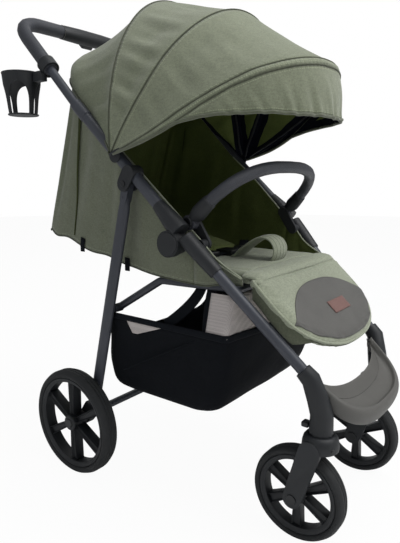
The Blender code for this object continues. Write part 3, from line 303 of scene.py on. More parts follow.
class Finish:
    """A new material, with short ways to mix the colour, gloss and relief of its shader."""

    def __init__(self, name):
        self.material = bpy.data.materials.new(name)
        self.material.use_nodes = True
        self.tree = self.material.node_tree
        self.shader = self.tree.nodes["Principled BSDF"]
        self.place = self.node("TexCoord", {}).outputs["Object"]

    def node(self, kind, values, **settings):
        return node(self.tree, kind, values, **settings)

    def speckle(self, scale, detail=3.0, roughness=0.6, stretch=None):
        """Noise on Object coordinates, drawn out sideways by a stretch."""
        place = self.place
        if stretch:
            place = self.node("Mapping", {"Vector": place, "Scale": (1.0, 1.0, stretch)}).outputs["Vector"]
        return self.node("TexNoise", {"Vector": place, "Scale": scale, "Detail": detail,
                                      "Roughness": roughness}).outputs["Fac"]

    def cells(self, scale, **values):
        """Distance from the walls between small cells."""
        return self.node("TexVoronoi", {"Vector": self.place, "Scale": scale, **values},
                         feature="DISTANCE_TO_EDGE").outputs["Distance"]

    def attribute(self, name):
        return self.node("Attribute", {}, attribute_name=name).outputs["Fac"]

    def remap(self, value, low, high, to_low, to_high):
        return self.node("MapRange", {"Value": value, "From Min": low, "From Max": high,
                                      "To Min": to_low, "To Max": to_high}).outputs["Result"]

    def maths(self, operation, first, second=0.0, third=None):
        values = {0: first, 1: second} if third is None else {0: first, 1: second, 2: third}
        return self.node("Math", values, operation=operation).outputs[0]

    def mix(self, share, first, second):
        """A colour between two colours or sockets."""
        colours = {number: value if isinstance(value, bpy.types.NodeSocket) else (*value, 1.0)
                   for number, value in ((6, first), (7, second))}
        return self.node("Mix", {0: share, **colours}, data_type="RGBA").outputs[2]

    def bump(self, height, distance, amount, under=None):
        values = {"Height": height, "Distance": distance, "Strength": amount}
        if under is not None:
            values["Normal"] = under
        made = self.node("Bump", values).outputs["Normal"]
        self.surface({"Normal": made})
        return made

    def surface(self, values):
        fill(self.tree, self.shader, values)


def melange(name, base, contrast=0.35, seams=False, sheen=0.25, crease=0.35):
    """Two-tone woven cloth with slubs, soft creases and, on sewn sheets, stitching along the seams."""
    made = Finish(name)
    fibre = made.speckle(900.0, 4.0, 0.75)
    grain = made.speckle(260.0, 3.0, 0.7)
    slubs = made.speckle(95.0, 2.0, stretch=7.0)
    mottle = made.speckle(14.0)
    mixed = made.maths("ADD", made.maths("MULTIPLY", fibre, 0.45), made.maths("MULTIPLY", grain, 0.35))
    mixed = made.maths("ADD", mixed, made.maths("MULTIPLY", slubs, 0.2))
    tone = made.remap(mixed, 0.36, 0.64, 0.0, 1.0)
    cloth = made.mix(tone, shade(base, 1 - contrast), shade(base, 1 + contrast))
    cloth = made.mix(made.remap(mottle, 0.3, 0.7, 0.0, 0.22), cloth, shade(base, 0.72))
    if seams:
        edge, run = made.attribute("seam"), made.attribute("run")
        stitch_place, stitch_half_width, stitches_per_metre = 0.0068, 0.0007, 240.0
        line = made.maths("COMPARE", edge, stitch_place, stitch_half_width)
        stitch = made.maths("FRACT", made.maths("MULTIPLY", run, stitches_per_metre))
        dash = made.maths("GREATER_THAN", stitch, 0.35)
        cloth = made.mix(made.maths("MULTIPLY", line, dash), cloth, shade(base, 1.55))
        cloth = made.mix(made.remap(edge, 0.0, 0.0035, 0.65, 0.0), cloth, shade(base, 0.3))
    made.surface({"Base Color": cloth, "Roughness": 0.9, "Specular IOR Level": 0.25, "Sheen Weight": sheen,
                  "Sheen Roughness": 0.6})
    weave = made.bump(fibre, 0.0006, 0.6)
    soft = made.bump(made.speckle(22.0, 2.0, 0.5), 0.006, crease, weave)
    if seams:
        pucker = made.maths("SINE", made.maths("MULTIPLY", run, 700.0))
        near = made.remap(edge, 0.0, 0.012, 1.0, 0.0)
        made.bump(made.maths("MULTIPLY", pucker, near), 0.0008, 0.5, soft)
    return made.material


def inner_cloth(name, base, sleeve=None, sleeve_width=0.020):
    """Plain lining cloth, with darker sleeves beside the seams where their colour is given."""
    made = Finish(name)
    grain = made.speckle(500.0, 4.0, 0.7)
    mottle = made.speckle(18.0)
    cloth = made.mix(made.remap(grain, 0.35, 0.65, 0.0, 1.0), shade(base, 0.75), shade(base, 1.3))
    cloth = made.mix(made.remap(mottle, 0.3, 0.7, 0.0, 0.4), cloth, shade(base, 0.6))
    if sleeve:
        cloth = made.mix(made.maths("LESS_THAN", made.attribute("seam"), sleeve_width), cloth, sleeve)
    made.surface({"Base Color": cloth, "Roughness": 0.9, "Specular IOR Level": 0.15})
    under = made.bump(grain, 0.0005, 0.5)
    made.bump(made.speckle(30.0, 2.0), 0.004, 0.4, under)
    return made.material


def moulded(name, base, roughness=0.55, grain_scale=1100.0, wear=0.5):
    """Moulded plastic or coated tube: fine texture, uneven gloss and paler worn edges."""
    made = Finish(name)
    fine = made.speckle(grain_scale, 2.0)
    patch = made.speckle(9.0, 4.0, 0.65)
    scuff = made.speckle(60.0, 6.0, 0.5, stretch=5.0)
    tone = made.mix(made.remap(patch, 0.3, 0.7, 0.0, 0.35), base, shade(base, 0.78))
    tone = made.mix(made.remap(scuff, 0.64, 0.78, 0.0, 0.3), tone, shade(base, 1.5))
    sharp = made.node("NewGeometry", {}).outputs["Pointiness"]
    tone = made.mix(made.remap(sharp, 0.53, 0.62, 0.0, wear), tone, shade(base, 1.8))
    made.surface({"Base Color": tone,
                  "Roughness": made.remap(patch, 0.25, 0.75, roughness - 0.07, roughness + 0.1)})
    made.bump(fine, 0.00025, 0.35)
    return made.material


def leather(name, base):
    """Grained cover of the bumper bar, the grips and the calf rest's patch."""
    made = Finish(name)
    cells = made.cells(520.0)
    patch = made.speckle(24.0, 4.0)
    tone = made.mix(made.remap(cells, 0.0, 0.12, 0.7, 0.0), base, shade(base, 0.55))
    tone = made.mix(made.remap(patch, 0.35, 0.7, 0.0, 0.35), tone, shade(base, 1.35))
    made.surface({"Base Color": tone, "Roughness": made.remap(patch, 0.3, 0.7, 0.42, 0.6)})
    made.bump(made.remap(cells, 0.0, 0.15, 0.0, 1.0), 0.0004, 0.5)
    return made.material


def rubber(name, base):
    """Foam rubber with dusty patches."""
    made = Finish(name)
    fine = made.speckle(700.0, 3.0, 0.7)
    dust = made.speckle(16.0, 5.0, 0.7)
    tone = made.mix(made.remap(dust, 0.5, 0.85, 0.0, 0.3), base, shade(base, 1.6))
    made.surface({"Base Color": tone, "Roughness": made.remap(dust, 0.3, 0.7, 0.62, 0.82)})
    made.bump(fine, 0.0004, 0.4)
    return made.material


def net(name, base):
    """Fine see-through mesh."""
    made = Finish(name)
    cells = made.cells(420.0, Randomness=0.15)
    tone = made.mix(made.remap(cells, 0.0, 0.3, 0.0, 1.0), shade(base, 0.85), base)
    made.surface({"Base Color": tone, "Alpha": made.remap(cells, 0.12, 0.3, 0.95, 0.55), "Roughness": 0.8})
    return made.material


def finish(name):
    """The material of that name, made the first time it is asked for."""
    found = bpy.data.materials.get(name)
    if found:
        return found
    cloth = bpy.context.scene.pushchair_cloth
    hard = bpy.context.scene.pushchair_hard
    recipes = {
        "canopy_cloth": (melange, cloth.canopy, {"seams": True}),
        "shell_cloth": (melange, shade(cloth.canopy, 0.72), {"seams": True, "crease": 0.6}),
        "green_piping": (melange, shade(cloth.canopy, 0.42), {"sheen": 0.1}),
        "pale_piping": (melange, shade(cloth.pad, 1.05), {}),
        "seat_weave": (melange, cloth.pad, {"crease": 0.25}),
        "shade_cloth": (melange, shade(cloth.canopy, 0.5), {"sheen": 0.1}),
        "back_cloth": (melange, shade(cloth.lining, 1.25), {"sheen": 0.1}),
        "tag": (melange, hard.tag, {"contrast": 0.2, "sheen": 0.05}),
        "lining": (inner_cloth, cloth.lining, {}),
        "hoop_lining": (inner_cloth, shade(cloth.lining, 1.6), {"sleeve": cloth.sleeve}),
        "basket_weave": (inner_cloth, cloth.basket, {}),
        "sleeve_cloth": (inner_cloth, shade(cloth.lining, 0.4), {}),
        "webbing": (inner_cloth, shade(cloth.basket, 1.3), {}),
        "basket_mesh": (net, cloth.mesh, {}),
        "frame_paint": (moulded, hard.paint, {"roughness": 0.46, "grain_scale": 1500.0, "wear": 0.3}),
        "moulding": (moulded, hard.moulding, {}),
        "grey_moulding": (moulded, hard.grey, {"roughness": 0.6}),
        "buckle": (moulded, shade(hard.moulding, 0.6), {"roughness": 0.35}),
        "calf_patch": (leather, hard.grey, {}),
        "cover": (leather, hard.cover, {}),
        "foam_rubber": (rubber, hard.tyre, {}),
    }
    maker, base, options = recipes[name]
    return maker(name, base, **options)


# Lines

def shares(count):
    """Even steps from 0 to 1, both included."""
    return [step / count for step in range(count + 1)]


def at(x, point):
    """A place from its x and its (y, z) in side view."""
    return Vector((x, point.x, point.y))


def heading(angle):
    return Vector((math.cos(angle), math.sin(angle)))


def ripple(value, *waves):
    """A sum of sine waves given as (length, height, offset)."""
    return sum(height * math.sin(math.tau * value / size + offset) for size, height, offset in waves)


def interp(table, value):
    """The second number of a table of pairs, at a value of the first."""
    if value <= table[0][0]:
        return table[0][1]
    for (first, low), (second, high) in zip(table, table[1:]):
        if value <= second:
            return low + (high - low) * (value - first) / (second - first)
    return table[-1][1]


def hermite(points, share):
    """A smooth place along a list of points."""
    spot = min(max(share, 0.0), 1.0) * (len(points) - 1)
    first = min(int(spot), len(points) - 2)
    part = spot - first
    a, b = points[first], points[first + 1]
    before = points[first - 1] if first > 0 else a * 2 - b
    after = points[first + 2] if first + 2 < len(points) else b * 2 - a
    return 0.5 * ((2 * a) + (b - before) * part + (2 * before - 5 * a + 4 * b - after) * part ** 2
                  + (3 * a - before - 3 * b + after) * part ** 3)


def resampled(points):
    """A function that gives the place at a share of the length of a line of points."""
    runs = [0.0]
    for first, second in zip(points, points[1:]):
        runs.append(runs[-1] + (second - first).length)

    def line(share):
        want = min(max(share, 0.0), 1.0) * runs[-1]
        low, high = 0, len(runs) - 1
        while high - low > 1:
            middle = (low + high) // 2
            low, high = (middle, high) if runs[middle] <= want else (low, middle)
        return points[low].lerp(points[high], (want - runs[low]) / max(runs[high] - runs[low], 1e-9))
    return line


def between(first, second):
    """The sheet that is stretched between two lines."""
    return lambda across, along: first(across).lerp(second(across), along)


# Meshes

def piece(name, bm, *finishes, body=None, smooth=True):
    """A finished object at the origin from a bmesh, on its body."""
    mesh = bpy.data.meshes.new(name)
    bm.to_mesh(mesh)
    bm.free()
    for kind in finishes:
        mesh.materials.append(finish(kind))
    if smooth:
        mesh.shade_smooth()
    item = bpy.data.objects.new(name, mesh)
    bpy.context.scene.collection.objects.link(item)
    if body:
        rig.ride(item, body)
    return item


def stand_for(item, node_name, slot):
    """Show a piece in place of a CAD node."""
    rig.replaces(item, node_name)
    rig.slot(item, slot)


def harden(item, width=0.0008, angle=35):
    """Small rounded edges that catch the light."""
    step = item.modifiers.new("edges", "BEVEL")
    step.width = width
    step.segments = 2
    step.limit_method = "ANGLE"
    step.angle_limit = math.radians(angle)
    step.harden_normals = True
    return item


def thicken(item, thickness, even=True):
    """Give a sheet its thickness, inwards, with its second material, if it has one, on the inside."""
    step = item.modifiers.new("cloth", "SOLIDIFY")
    step.thickness = thickness
    step.offset = -1
    step.use_even_offset = even
    step.material_offset = len(item.data.materials) - 1
    return item


def sideways(centre, side):
    """The matrix that lays a shape made round Z on its side at a centre, its top outwards."""
    return Matrix.Translation(centre) @ Matrix.Rotation(side * math.pi / 2, 4, "Y")


def bevelled(bm, width, segments):
    bmesh.ops.bevel(bm, geom=list(bm.edges), offset=width, segments=segments, profile=0.5, affect="EDGES",
                    material=-1)


def spun(profile, steps, place, closed=False):
    """A shape turned round Z from (radius, height) pairs, and put in its place by a matrix."""
    bm = bmesh.new()
    verts = [bm.verts.new((radius, 0, height)) for radius, height in profile]
    edges = [bm.edges.new(pair) for pair in zip(verts, verts[1:] + verts[:1] if closed else verts[1:])]
    bmesh.ops.spin(bm, geom=verts + edges, cent=(0, 0, 0), axis=(0, 0, 1), steps=steps, angle=math.tau,
                   use_merge=True)
    bmesh.ops.remove_doubles(bm, verts=bm.verts, dist=SPIN_MERGE)
    bmesh.ops.recalc_face_normals(bm, faces=bm.faces)
    bmesh.ops.transform(bm, matrix=place, verts=bm.verts)
    return bm


def cap(name, radii, depth, place, kind, body, segments=48, edge=FINE_EDGE):
    """A flat round cap with sloping sides, from the radii of its foot and its top."""
    bm = bmesh.new()
    bmesh.ops.create_cone(bm, cap_ends=True, segments=segments, radius1=radii[0], radius2=radii[1], depth=depth)
    bmesh.ops.transform(bm, matrix=place, verts=bm.verts)
    return harden(piece(name, bm, kind, body=body), edge)


def rod(name, points, radius, kind, body, flat=None, sides=8):
    """A round cord of piping, or a flat ribbon if flat gives its outward directions, swept along points.

    The radius holds for the whole rod, or is a list with one for each point. A ribbon's is (half width, half
    thickness).
    """
    bm = bmesh.new()
    number = bm.verts.layers.int.new("number")
    bmesh.ops.create_circle(bm, segments=sides, radius=1.0)
    ring = list(bm.verts)
    base = [vert.co.copy() for vert in ring]
    for count, vert in enumerate(ring):
        vert[number] = count
    rows = []
    for step, place in enumerate(points):
        ahead = (points[min(step + 1, len(points) - 1)] - points[max(step - 1, 0)]).normalized()
        side = flat[step].cross(ahead).normalized() if flat else ahead.orthogonal().normalized()
        if rows and not flat:
            side = (rows[-1][1] - ahead * rows[-1][1].dot(ahead)).normalized()
        size = radius[step] if isinstance(radius, list) else radius
        rows.append((place, side, ahead.cross(side), size if isinstance(size, tuple) else (size, size)))

    def put(verts, row):
        place, side, up, size = row
        for vert in verts:
            shape = base[vert[number]]
            vert.co = place + side * shape.x * size[0] + up * shape.y * size[1]
    put(ring, rows[0])
    loops = list(bm.edges)
    for row in rows[1:]:
        made = bmesh.ops.extrude_edge_only(bm, edges=loops)["geom"]
        verts = [item for item in made if isinstance(item, bmesh.types.BMVert)]
        loops = [item for item in made if isinstance(item, bmesh.types.BMEdge)
                 and all(vert in verts for vert in item.verts)]
        put(verts, row)
    bmesh.ops.holes_fill(bm, edges=bm.edges, sides=0)
    bmesh.ops.recalc_face_normals(bm, faces=bm.faces)
    return piece(name, bm, kind, body=body)


def sheet_bm(columns, rows, place, closed=False):
    """A grid of cloth whose points go where place(across, along) says, both running from 0 to 1.

    Its seam attribute is the distance from the nearer sewn edge, and its run attribute the way along that edge.
    """
    bm = bmesh.new()
    seam = bm.verts.layers.float.new("seam")
    run = bm.verts.layers.float.new("run")
    bmesh.ops.create_grid(bm, x_segments=columns, y_segments=rows, size=1.0)
    lengths = {}
    run_length, samples = 0.9, 8
    for vert in bm.verts:
        across, along = (vert.co.x + 1) / 2, (vert.co.y + 1) / 2
        key = round(across, 5)
        if key not in lengths:
            spots = [place(across, share) for share in shares(samples)]
            lengths[key] = sum((second - first).length for first, second in zip(spots, spots[1:]))
        vert[seam] = min(along, 1 - along) * lengths[key]
        vert[run] = across * run_length
        vert.co = place(across, along)
    if closed:
        bmesh.ops.remove_doubles(bm, verts=bm.verts, dist=MERGE)
    return bm


def face_out(bm, inside):
    """Turn every face away from a point inside."""
    bm.normal_update()
    if sum(face.normal.dot(face.calc_center_median() - inside) * face.calc_area() for face in bm.faces) < 0:
        bmesh.ops.reverse_faces(bm, faces=bm.faces)
    return bm


def declare_sheet(item, held, rests_on):
    """State the cut size of a sheet, from the area it has before it gets its thickness.

    The cut is taken as a rectangle with spare cloth, whose first side is a share of the sheet's diagonal.
    """
    diagonal_share, spare = 0.75, 1.1
    area = sum(face.area for face in item.data.polygons)
    low = Vector([min(vert.co[axis] for vert in item.data.vertices) for axis in range(3)])
    high = Vector([max(vert.co[axis] for vert in item.data.vertices) for axis in range(3)])
    wide = max((high - low).length * diagonal_share, math.sqrt(area))
    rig.sheet(item, flat=(round(wide, 3), round(area / wide * spare, 3)), held=held, rests_on=rests_on,
             area=round(area, 4))


def cloth_sheet(name, grid, inside, finishes, body, thickness, held, rests_on, even=True):
    """A declared sheet of cloth from its grid, facing away from a point inside."""
    item = piece(name, face_out(grid, inside), *finishes, body=body)
    thicken(item, thickness, even)
    declare_sheet(item, held, rests_on)
    return item


# Canopy

CANOPY_MIDDLE = Vector(PIVOTS["canopy_mid_swing"])
CANOPY_PIVOT = CANOPY_MIDDLE.yz
CANOPY_HALF_WIDTH = 0.262
# Roundness of the hoops and of the rear edge: 2 is an ellipse, and more is squarer
HOOP_POWER = 2.1
REAR_EDGE_POWER = 8.0
REAR_EDGE_HALF_WIDTH = 0.2222
# How far from the hinge the panels begin
PANEL_START = 0.009
# Angle in degrees and reach from the hinge of the rear panel's hem and of its rounded edge
REAR_HEM = (43.5, 0.284)
REAR_EDGE = (49.6, 0.311)
# Reach of the hoops at each angle in degrees
REACHES = ((85.9, 0.364), (118.6, 0.353), (154.5, 0.412), (166.0, 0.392), (175.0, 0.380))
# Angle of each seam of the canopy in degrees, at each place round it from its hinge to its middle
BOW_REAR = ((0, 85.9), (90, 85.9))
BOW_MID = ((0, 122.5), (22, 121.2), (38, 119.1), (90, 118.7))
BAND_TOP = ((0, 160.0), (12, 158.5), (19, 156.6), (25, 154.5), (37, 153.0), (51, 152.0), (62, 152.4),
            (90, 153.2))
BAND_LOW = ((0, 166.0), (12, 164.1), (19, 161.5), (25, 159.3), (33, 156.6), (43, 154.9), (54, 154.6),
            (90, 155.4))
HEM = ((0, 166.6), (12, 164.7), (19, 162.1), (24, 160.4), (32, 162.0), (41, 164.1), (52, 166.3), (69, 168.4),
       (90, 169.3))
PEAK_COLUMNS = 220


def hoop_place(angle, reach, half_width, power, turn):
    """A place on a hoop that leans at an angle, at a turn from 0 at its right-hand end to pi at its left."""
    across = abs(math.cos(turn)) ** (2 / power) * half_width
    rise = max(0.0, math.sin(turn)) ** (2 / power) * reach
    return at(-math.copysign(across, math.cos(turn)), CANOPY_PIVOT + heading(angle) * rise)


def seam_line(angles, lift=0.0):
    """A seam that runs over a hoop from hinge to hinge."""
    first = math.asin((PANEL_START / REACHES[-1][1]) ** (HOOP_POWER / 2))
    points = []
    for share in shares(240):
        turn = first + (math.pi - 2 * first) * share
        angle = interp(angles, math.degrees(min(turn, math.pi - turn)))
        points.append(hoop_place(math.radians(angle), interp(REACHES, angle) + lift, CANOPY_HALF_WIDTH + lift,
                                 HOOP_POWER, turn))
    return resampled(points)


def rear_line(angle, reach):
    """The canopy's rear edge, which runs up beside the handle tubes and straight across between them."""
    flare, flare_rise, crowding, ends = 0.038, 0.15, 3.2, 0.006
    half = []
    for share in shares(160):
        turn = math.pi / 2 * max(share, 0.02) ** crowding
        spot = hoop_place(math.radians(angle), reach, REAR_EDGE_HALF_WIDTH, REAR_EDGE_POWER, turn)
        rise = (spot.yz - CANOPY_PIVOT).length
        spot.x = math.copysign(abs(spot.x) + flare * max(0.0, 1 - rise / flare_rise) ** 1.5, spot.x)
        half.append(spot)
    start = half[0] - CANOPY_MIDDLE
    start.x = 0
    half[0] = at(-CANOPY_HALF_WIDTH, CANOPY_PIVOT) + start.normalized() * ends
    return resampled(half + [Vector((-spot.x, spot.y, spot.z)) for spot in reversed(half[:-1])])


def rear_panel(foot, edge, rear):
    """The sheet from the hem up to the rounded rear edge, and in a hollow curve from there to the rear hoop."""
    edge_share, hollow_depth = 0.22, 0.045
    rounding = (-0.09, -0.045, 0.0, 0.045, 0.09)

    def place(across, along):
        total = Vector()
        for shift in rounding:
            spot = along + shift * min(1.0, 9 * along, 9 * (1 - along))
            if spot < edge_share:
                total += foot(across).lerp(edge(across), spot / edge_share)
            else:
                share = (spot - edge_share) / (1 - edge_share)
                hollow = (edge(across) + rear(across)) / 2 - CANOPY_MIDDLE
                total += edge(across).lerp(rear(across), share)
                total -= hollow.normalized() * hollow_depth * share * (1 - share)
        return total / len(rounding)
    return place


def canopy_sheet(name, line, body, sag, wrinkle, columns, rows, gathered, hoop):
    """One panel of the canopy, whose place before creasing is line(across, along)."""
    run_length, hem_depth = 1.05, 0.05

    def place(across, along):
        spot = line(across, along)
        out = (spot - CANOPY_MIDDLE).normalized()
        middle = math.sin(math.pi * along)
        side = 1 - math.sin(math.pi * across) ** 2
        ends = min(1.0, 9 * min(across, 1 - across))
        run = across * run_length
        folds = ripple(run + 0.02 * along, (0.043, 0.0016, 0.3), (0.071, 0.0014, 1.9)) * (0.2 + side)
        folds += noise.noise(Vector((across * 16, along * 2.2, len(name)))) * 0.003
        gather = 0.0
        if gathered:
            depth = min(1.0, (line(across, 1.0) - line(across, 0.0)).length / hem_depth)
            waves = ripple(run - 0.03 * along, (0.023, 0.0010, 0.0), (0.037, 0.0016, 1.1))
            waves += 0.0035 * noise.noise(Vector((across * 24, along * 1.5, 9.0)))
            gather = depth * along ** 1.6 * waves
        return spot + out * ends * (middle * (folds * wrinkle - sag * (1 - 0.4 * side)) + gather)
    item = cloth_sheet(name, sheet_bm(columns, rows, place), CANOPY_MIDDLE, ("canopy_cloth", "hoop_lining"), body,
                       bpy.context.scene.pushchair_cloth.thickness, "stretched", [hoop], even=False)
    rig.slot(item, "green_cloth")
    return item


class MakeCanopy(bpy.types.Operator):
    """Skin the canopy's panels over its hoops, with piping, a padded front band and a gathered hem"""
    bl_idname = "pushchair.make_canopy"
    bl_label = "Make canopy"

    def execute(self, context):
        rear, mid, top, low, hem = (seam_line(angles) for angles in (BOW_REAR, BOW_MID, BAND_TOP, BAND_LOW, HEM))
        foot, edge = rear_line(*REAR_HEM), rear_line(*REAR_EDGE)
        # Name, sheet, body, sag, wrinkle, columns, rows, gathered, hoop, the node that it stands for
        panels = (
            ("hood_rear", rear_panel(foot, edge, rear), "upper_frame", 0.0, 1.2, 96, 28, False, "bow_rear",
             "canopy_rear"),
            ("hood_back", between(rear, mid), None, 0.004, 1.9, 120, 16, False, "bow_mid", "canopy_back"),
            ("hood_front", between(mid, top), None, 0.005, 1.0, 96, 18, False, "bow_front", "canopy_front"),
            ("hood_band", between(top, low), "canopy_front", -0.0035, 0.5, 96, 8, False, "bow_front", None),
            ("hood_peak", between(low, hem), "canopy_front", -0.003, 0.6, PEAK_COLUMNS, 12, True, "bow_front",
             "canopy_peak"),
        )
        made = {}
        for name, *shape, node_name in panels:
            made[name] = canopy_sheet(name, *shape)
            if node_name:
                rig.replaces(made[name], node_name)
        for name, first, second, *angles in (("hood_back", "upper_frame", "canopy_mid", 87.5, 117.5),
                                             ("hood_front", "canopy_mid", "canopy_front", 120.5, 150.5)):
            start, end = (at(0, CANOPY_PIVOT + heading(math.radians(angle)) * 0.33) for angle in angles)
            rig.blend(made[name], first, second, start=start, end=end)
        for name, angles, body in (("rear", BOW_REAR, "upper_frame"), ("mid", BOW_MID, "canopy_mid"),
                                   ("band_top", BAND_TOP, "canopy_front"), ("band_low", BAND_LOW, "canopy_front")):
            line = seam_line(angles, lift=0.0004)
            rod("hood_piping_" + name, [line(share) for share in shares(96)],
                context.scene.pushchair_cloth.piping, "green_piping", body)
        hem_row = [vert.co.copy() for vert in list(made["hood_peak"].data.vertices)[-PEAK_COLUMNS - 1:]]
        rod("hood_hem", hem_row, 0.0034, "canopy_cloth", "canopy_front")
        self.flap(context)
        rod("hood_rear_binding", [foot(share) for share in shares(96)], 0.0022, "green_piping", "upper_frame")
        return {"FINISHED"}

    def flap(self, context):
        """The short curtain that closes the slit between the canopy's rear hem and the top of the seat"""
        half, drop = 0.186, 0.044

        def place(across, along):
            wave = ripple(across, (0.21, 0.0016, 0.5), (0.13, 0.0012, 2.0)) * along
            return Vector((half * (2 * across - 1), 0.2840 + 0.0035 * along + wave * 0.5, 0.966 - drop * along))
        item = cloth_sheet("hood_flap", sheet_bm(64, 8, place), CANOPY_MIDDLE, ("canopy_cloth", "lining"),
                           "upper_frame", context.scene.pushchair_cloth.thickness, "hung", ["hood_rear"])
        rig.slot(item, "green_cloth")


# Seat shell

# Foot and top of the shell's cloth at each station from its front to the middle of its back, as (x, y, z)
SHELL_STATIONS = (
    ((0.192, -0.208, 0.512), (0.192, -0.208, 0.524)),
    ((0.194, -0.150, 0.506), (0.196, -0.152, 0.556)),
    ((0.196, -0.109, 0.500), (0.203, -0.112, 0.596)),
    ((0.196, 0.000, 0.506), (0.2150, -0.012, 0.689)),
    ((0.196, 0.060, 0.514), (0.2184, 0.044, 0.739)),
    ((0.196, 0.120, 0.528), (0.2184, 0.090, 0.777)),
    ((0.197, 0.200, 0.545), (0.2184, 0.138, 0.824)),
    ((0.198, 0.300, 0.570), (0.208, 0.205, 0.896)),
    ((0.198, 0.360, 0.584), (0.200, 0.255, 0.922)),
    ((0.191, 0.388, 0.591), (0.191, 0.280, 0.929)),
    ((0.168, 0.397, 0.594), (0.168, 0.289, 0.931)),
    ((0.090, 0.399, 0.595), (0.090, 0.291, 0.932)),
)
SHELL_MIDDLE = Vector((0, 0.1, 0.65))
STATION = 1 / (2 * len(SHELL_STATIONS) - 1)
# Share of the way round the shell at which its front corners, which stay with the seat, meet the rest
CORNER = 2.2 * STATION
FOOT_BINDING = 0.0016
TUBE_SLOPE = math.radians(41.7)


def shell_line(end):
    """The shell's foot (0) or top (1), from the right-hand front, round the back, to the left-hand front."""
    spots = [Vector(pair[end]) for pair in SHELL_STATIONS]
    return [Vector((-spot.x, spot.y, spot.z)) for spot in spots] + spots[::-1]


SHELL_FOOT, SHELL_TOP = shell_line(0), shell_line(1)


def shell_place(across, along, lift=0.0):
    """A place on the seat shell, from the front right round to the front left, and from its foot to its top."""
    run_length, back_start, back_reach, sag, hem_wave = 2.1, 0.05, 0.15, 0.004, 0.004
    spot = hermite(SHELL_FOOT, across).lerp(hermite(SHELL_TOP, across), along)
    out = Vector((spot.x, max(spot.y - 0.2, 0) * 1.4, 0)).normalized()
    back = min(1.0, max(0.0, spot.y - back_start) / back_reach)
    depth = math.sin(math.pi * min(1.0, along * 1.02))
    run = across * run_length
    folds = ripple(run + along * 0.02, (0.115, 0.0030, 0.6), (0.062, 0.0016, 2.2)) * (0.35 + 0.65 * back)
    folds += noise.noise(Vector((across * 14, along * 2.5, 3.0))) * 0.004
    spot = spot + out * depth * (folds - sag * back)
    spot.z -= hem_wave * (1 - along) * (1 + math.sin(run * 46)) * back
    return spot + out * lift


class MakeShell(bpy.types.Operator):
    """Make the deep cloth sides and back of the seat, with piping, binding and buckle tabs"""
    bl_idname = "pushchair.make_shell"
    bl_label = "Make seat shell"

    def sheet(self, context, name, columns, place, body, rests_on, even):
        item = cloth_sheet(name, sheet_bm(columns, 26, place), SHELL_MIDDLE, ("shell_cloth", "lining"), body,
                           context.scene.pushchair_cloth.shell, "hung", rests_on, even)
        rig.slot(item, "green_cloth")
        return item

    def side(self, context, side, word):
        """The piping, vent, buckle tabs and front corner of one side; returns what folds with the shell"""
        def spot_at(share, along, lift=0.0):
            return shell_place(share if side < 0 else 1 - share, along, lift)

        def edge(first, last, along, lift, count):
            return [spot_at(first + (last - first) * share, along, lift) for share in shares(count)]
        soft = []
        for label, along, lift, size in (("", 1.0, -0.0008, 0.0019), ("_low", 0.90, 0.0012, 0.0013)):
            soft.append(rod("seat_piping" + label + "_" + word, edge(CORNER, 5 * STATION, along, lift, 48), size,
                            "pale_piping", "upper_frame"))
            rod("corner_piping" + label + "_" + word, edge(0.002, CORNER, along, lift, 24), size, "pale_piping",
                "seat_frame")
        rod("corner_binding_" + word, edge(0.0, CORNER, 0.0, 0.0, 24), FOOT_BINDING, "green_piping", "seat_frame")
        self.sheet(context, "seat_corner_" + word, 24, lambda across, along: spot_at(CORNER * across, along),
                   "seat_frame", ["seat_cushion"], True)
        vent_shares = shares(24)[1:-1]
        vent = [spot_at((6.85 + 0.65 * share) * STATION, share, 0.0010) for share in vent_shares]
        wide = [(0.0026 + 0.0075 * share ** 1.5, 0.0012) for share in vent_shares]
        soft.append(rod("seat_vent_" + word, vent, wide, "sleeve_cloth", "upper_frame",
                        flat=[Vector((side, 0.35, 0)).normalized()] * len(vent)))
        for label, index in (("rear", 6.55), ("front", 4.75)):
            tab = [spot_at(index * STATION, along, 0.0022) for along in (0.0, 0.02, 0.045, 0.07)]
            tab[0] = tab[1] + Vector((0, 0, -0.018))
            soft.append(rod("seat_tab_%s_%s" % (label, word), tab, (0.0080, 0.0014), "webbing", "upper_frame",
                            flat=[Vector((side, 0, 0))] * len(tab)))
        return soft

    def execute(self, context):
        def middle(share):
            return CORNER + (1 - 2 * CORNER) * share
        shell = self.sheet(context, "seat_sides", 160, lambda across, along: shell_place(middle(across), along),
                           "upper_frame", ["upper_tube_right", "upper_tube_left"], False)
        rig.replaces(shell, "seat_shell")
        soft = [shell]
        for side, word, _ in SIDES:
            soft += self.side(context, side, word)
        foot = [shell_place(middle(share), 0.0) for share in shares(160)]
        soft.append(rod("seat_foot_binding", foot, FOOT_BINDING, "green_piping", "upper_frame"))
        across_tube = Vector((0, -math.sin(TUBE_SLOPE), math.cos(TUBE_SLOPE)))
        for item in soft:
            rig.squash(item, "frame_fold", axis=across_tube, anchor=PIVOTS["rear_frame_swing"], keep=0.12)
        return {"FINISHED"}


# Pads

CALF_PIVOT = Vector(PIVOTS["calf_rest_tilt"])
CALF_ANGLE = math.radians(42.0)
CALF_DOWN = Vector((0, -math.cos(CALF_ANGLE), -math.sin(CALF_ANGLE)))
CALF_OUT = Vector((0, -math.sin(CALF_ANGLE), math.cos(CALF_ANGLE)))
# Half of the calf rest's outline, as (down from its pivot, half width)
CALF_OUTLINE = ((0.0, 0.196), (0.062, 0.198), (0.113, 0.192), (0.150, 0.170), (0.179, 0.132), (0.198, 0.085),
                (0.206, 0.035))
RIM_STEPS = 120


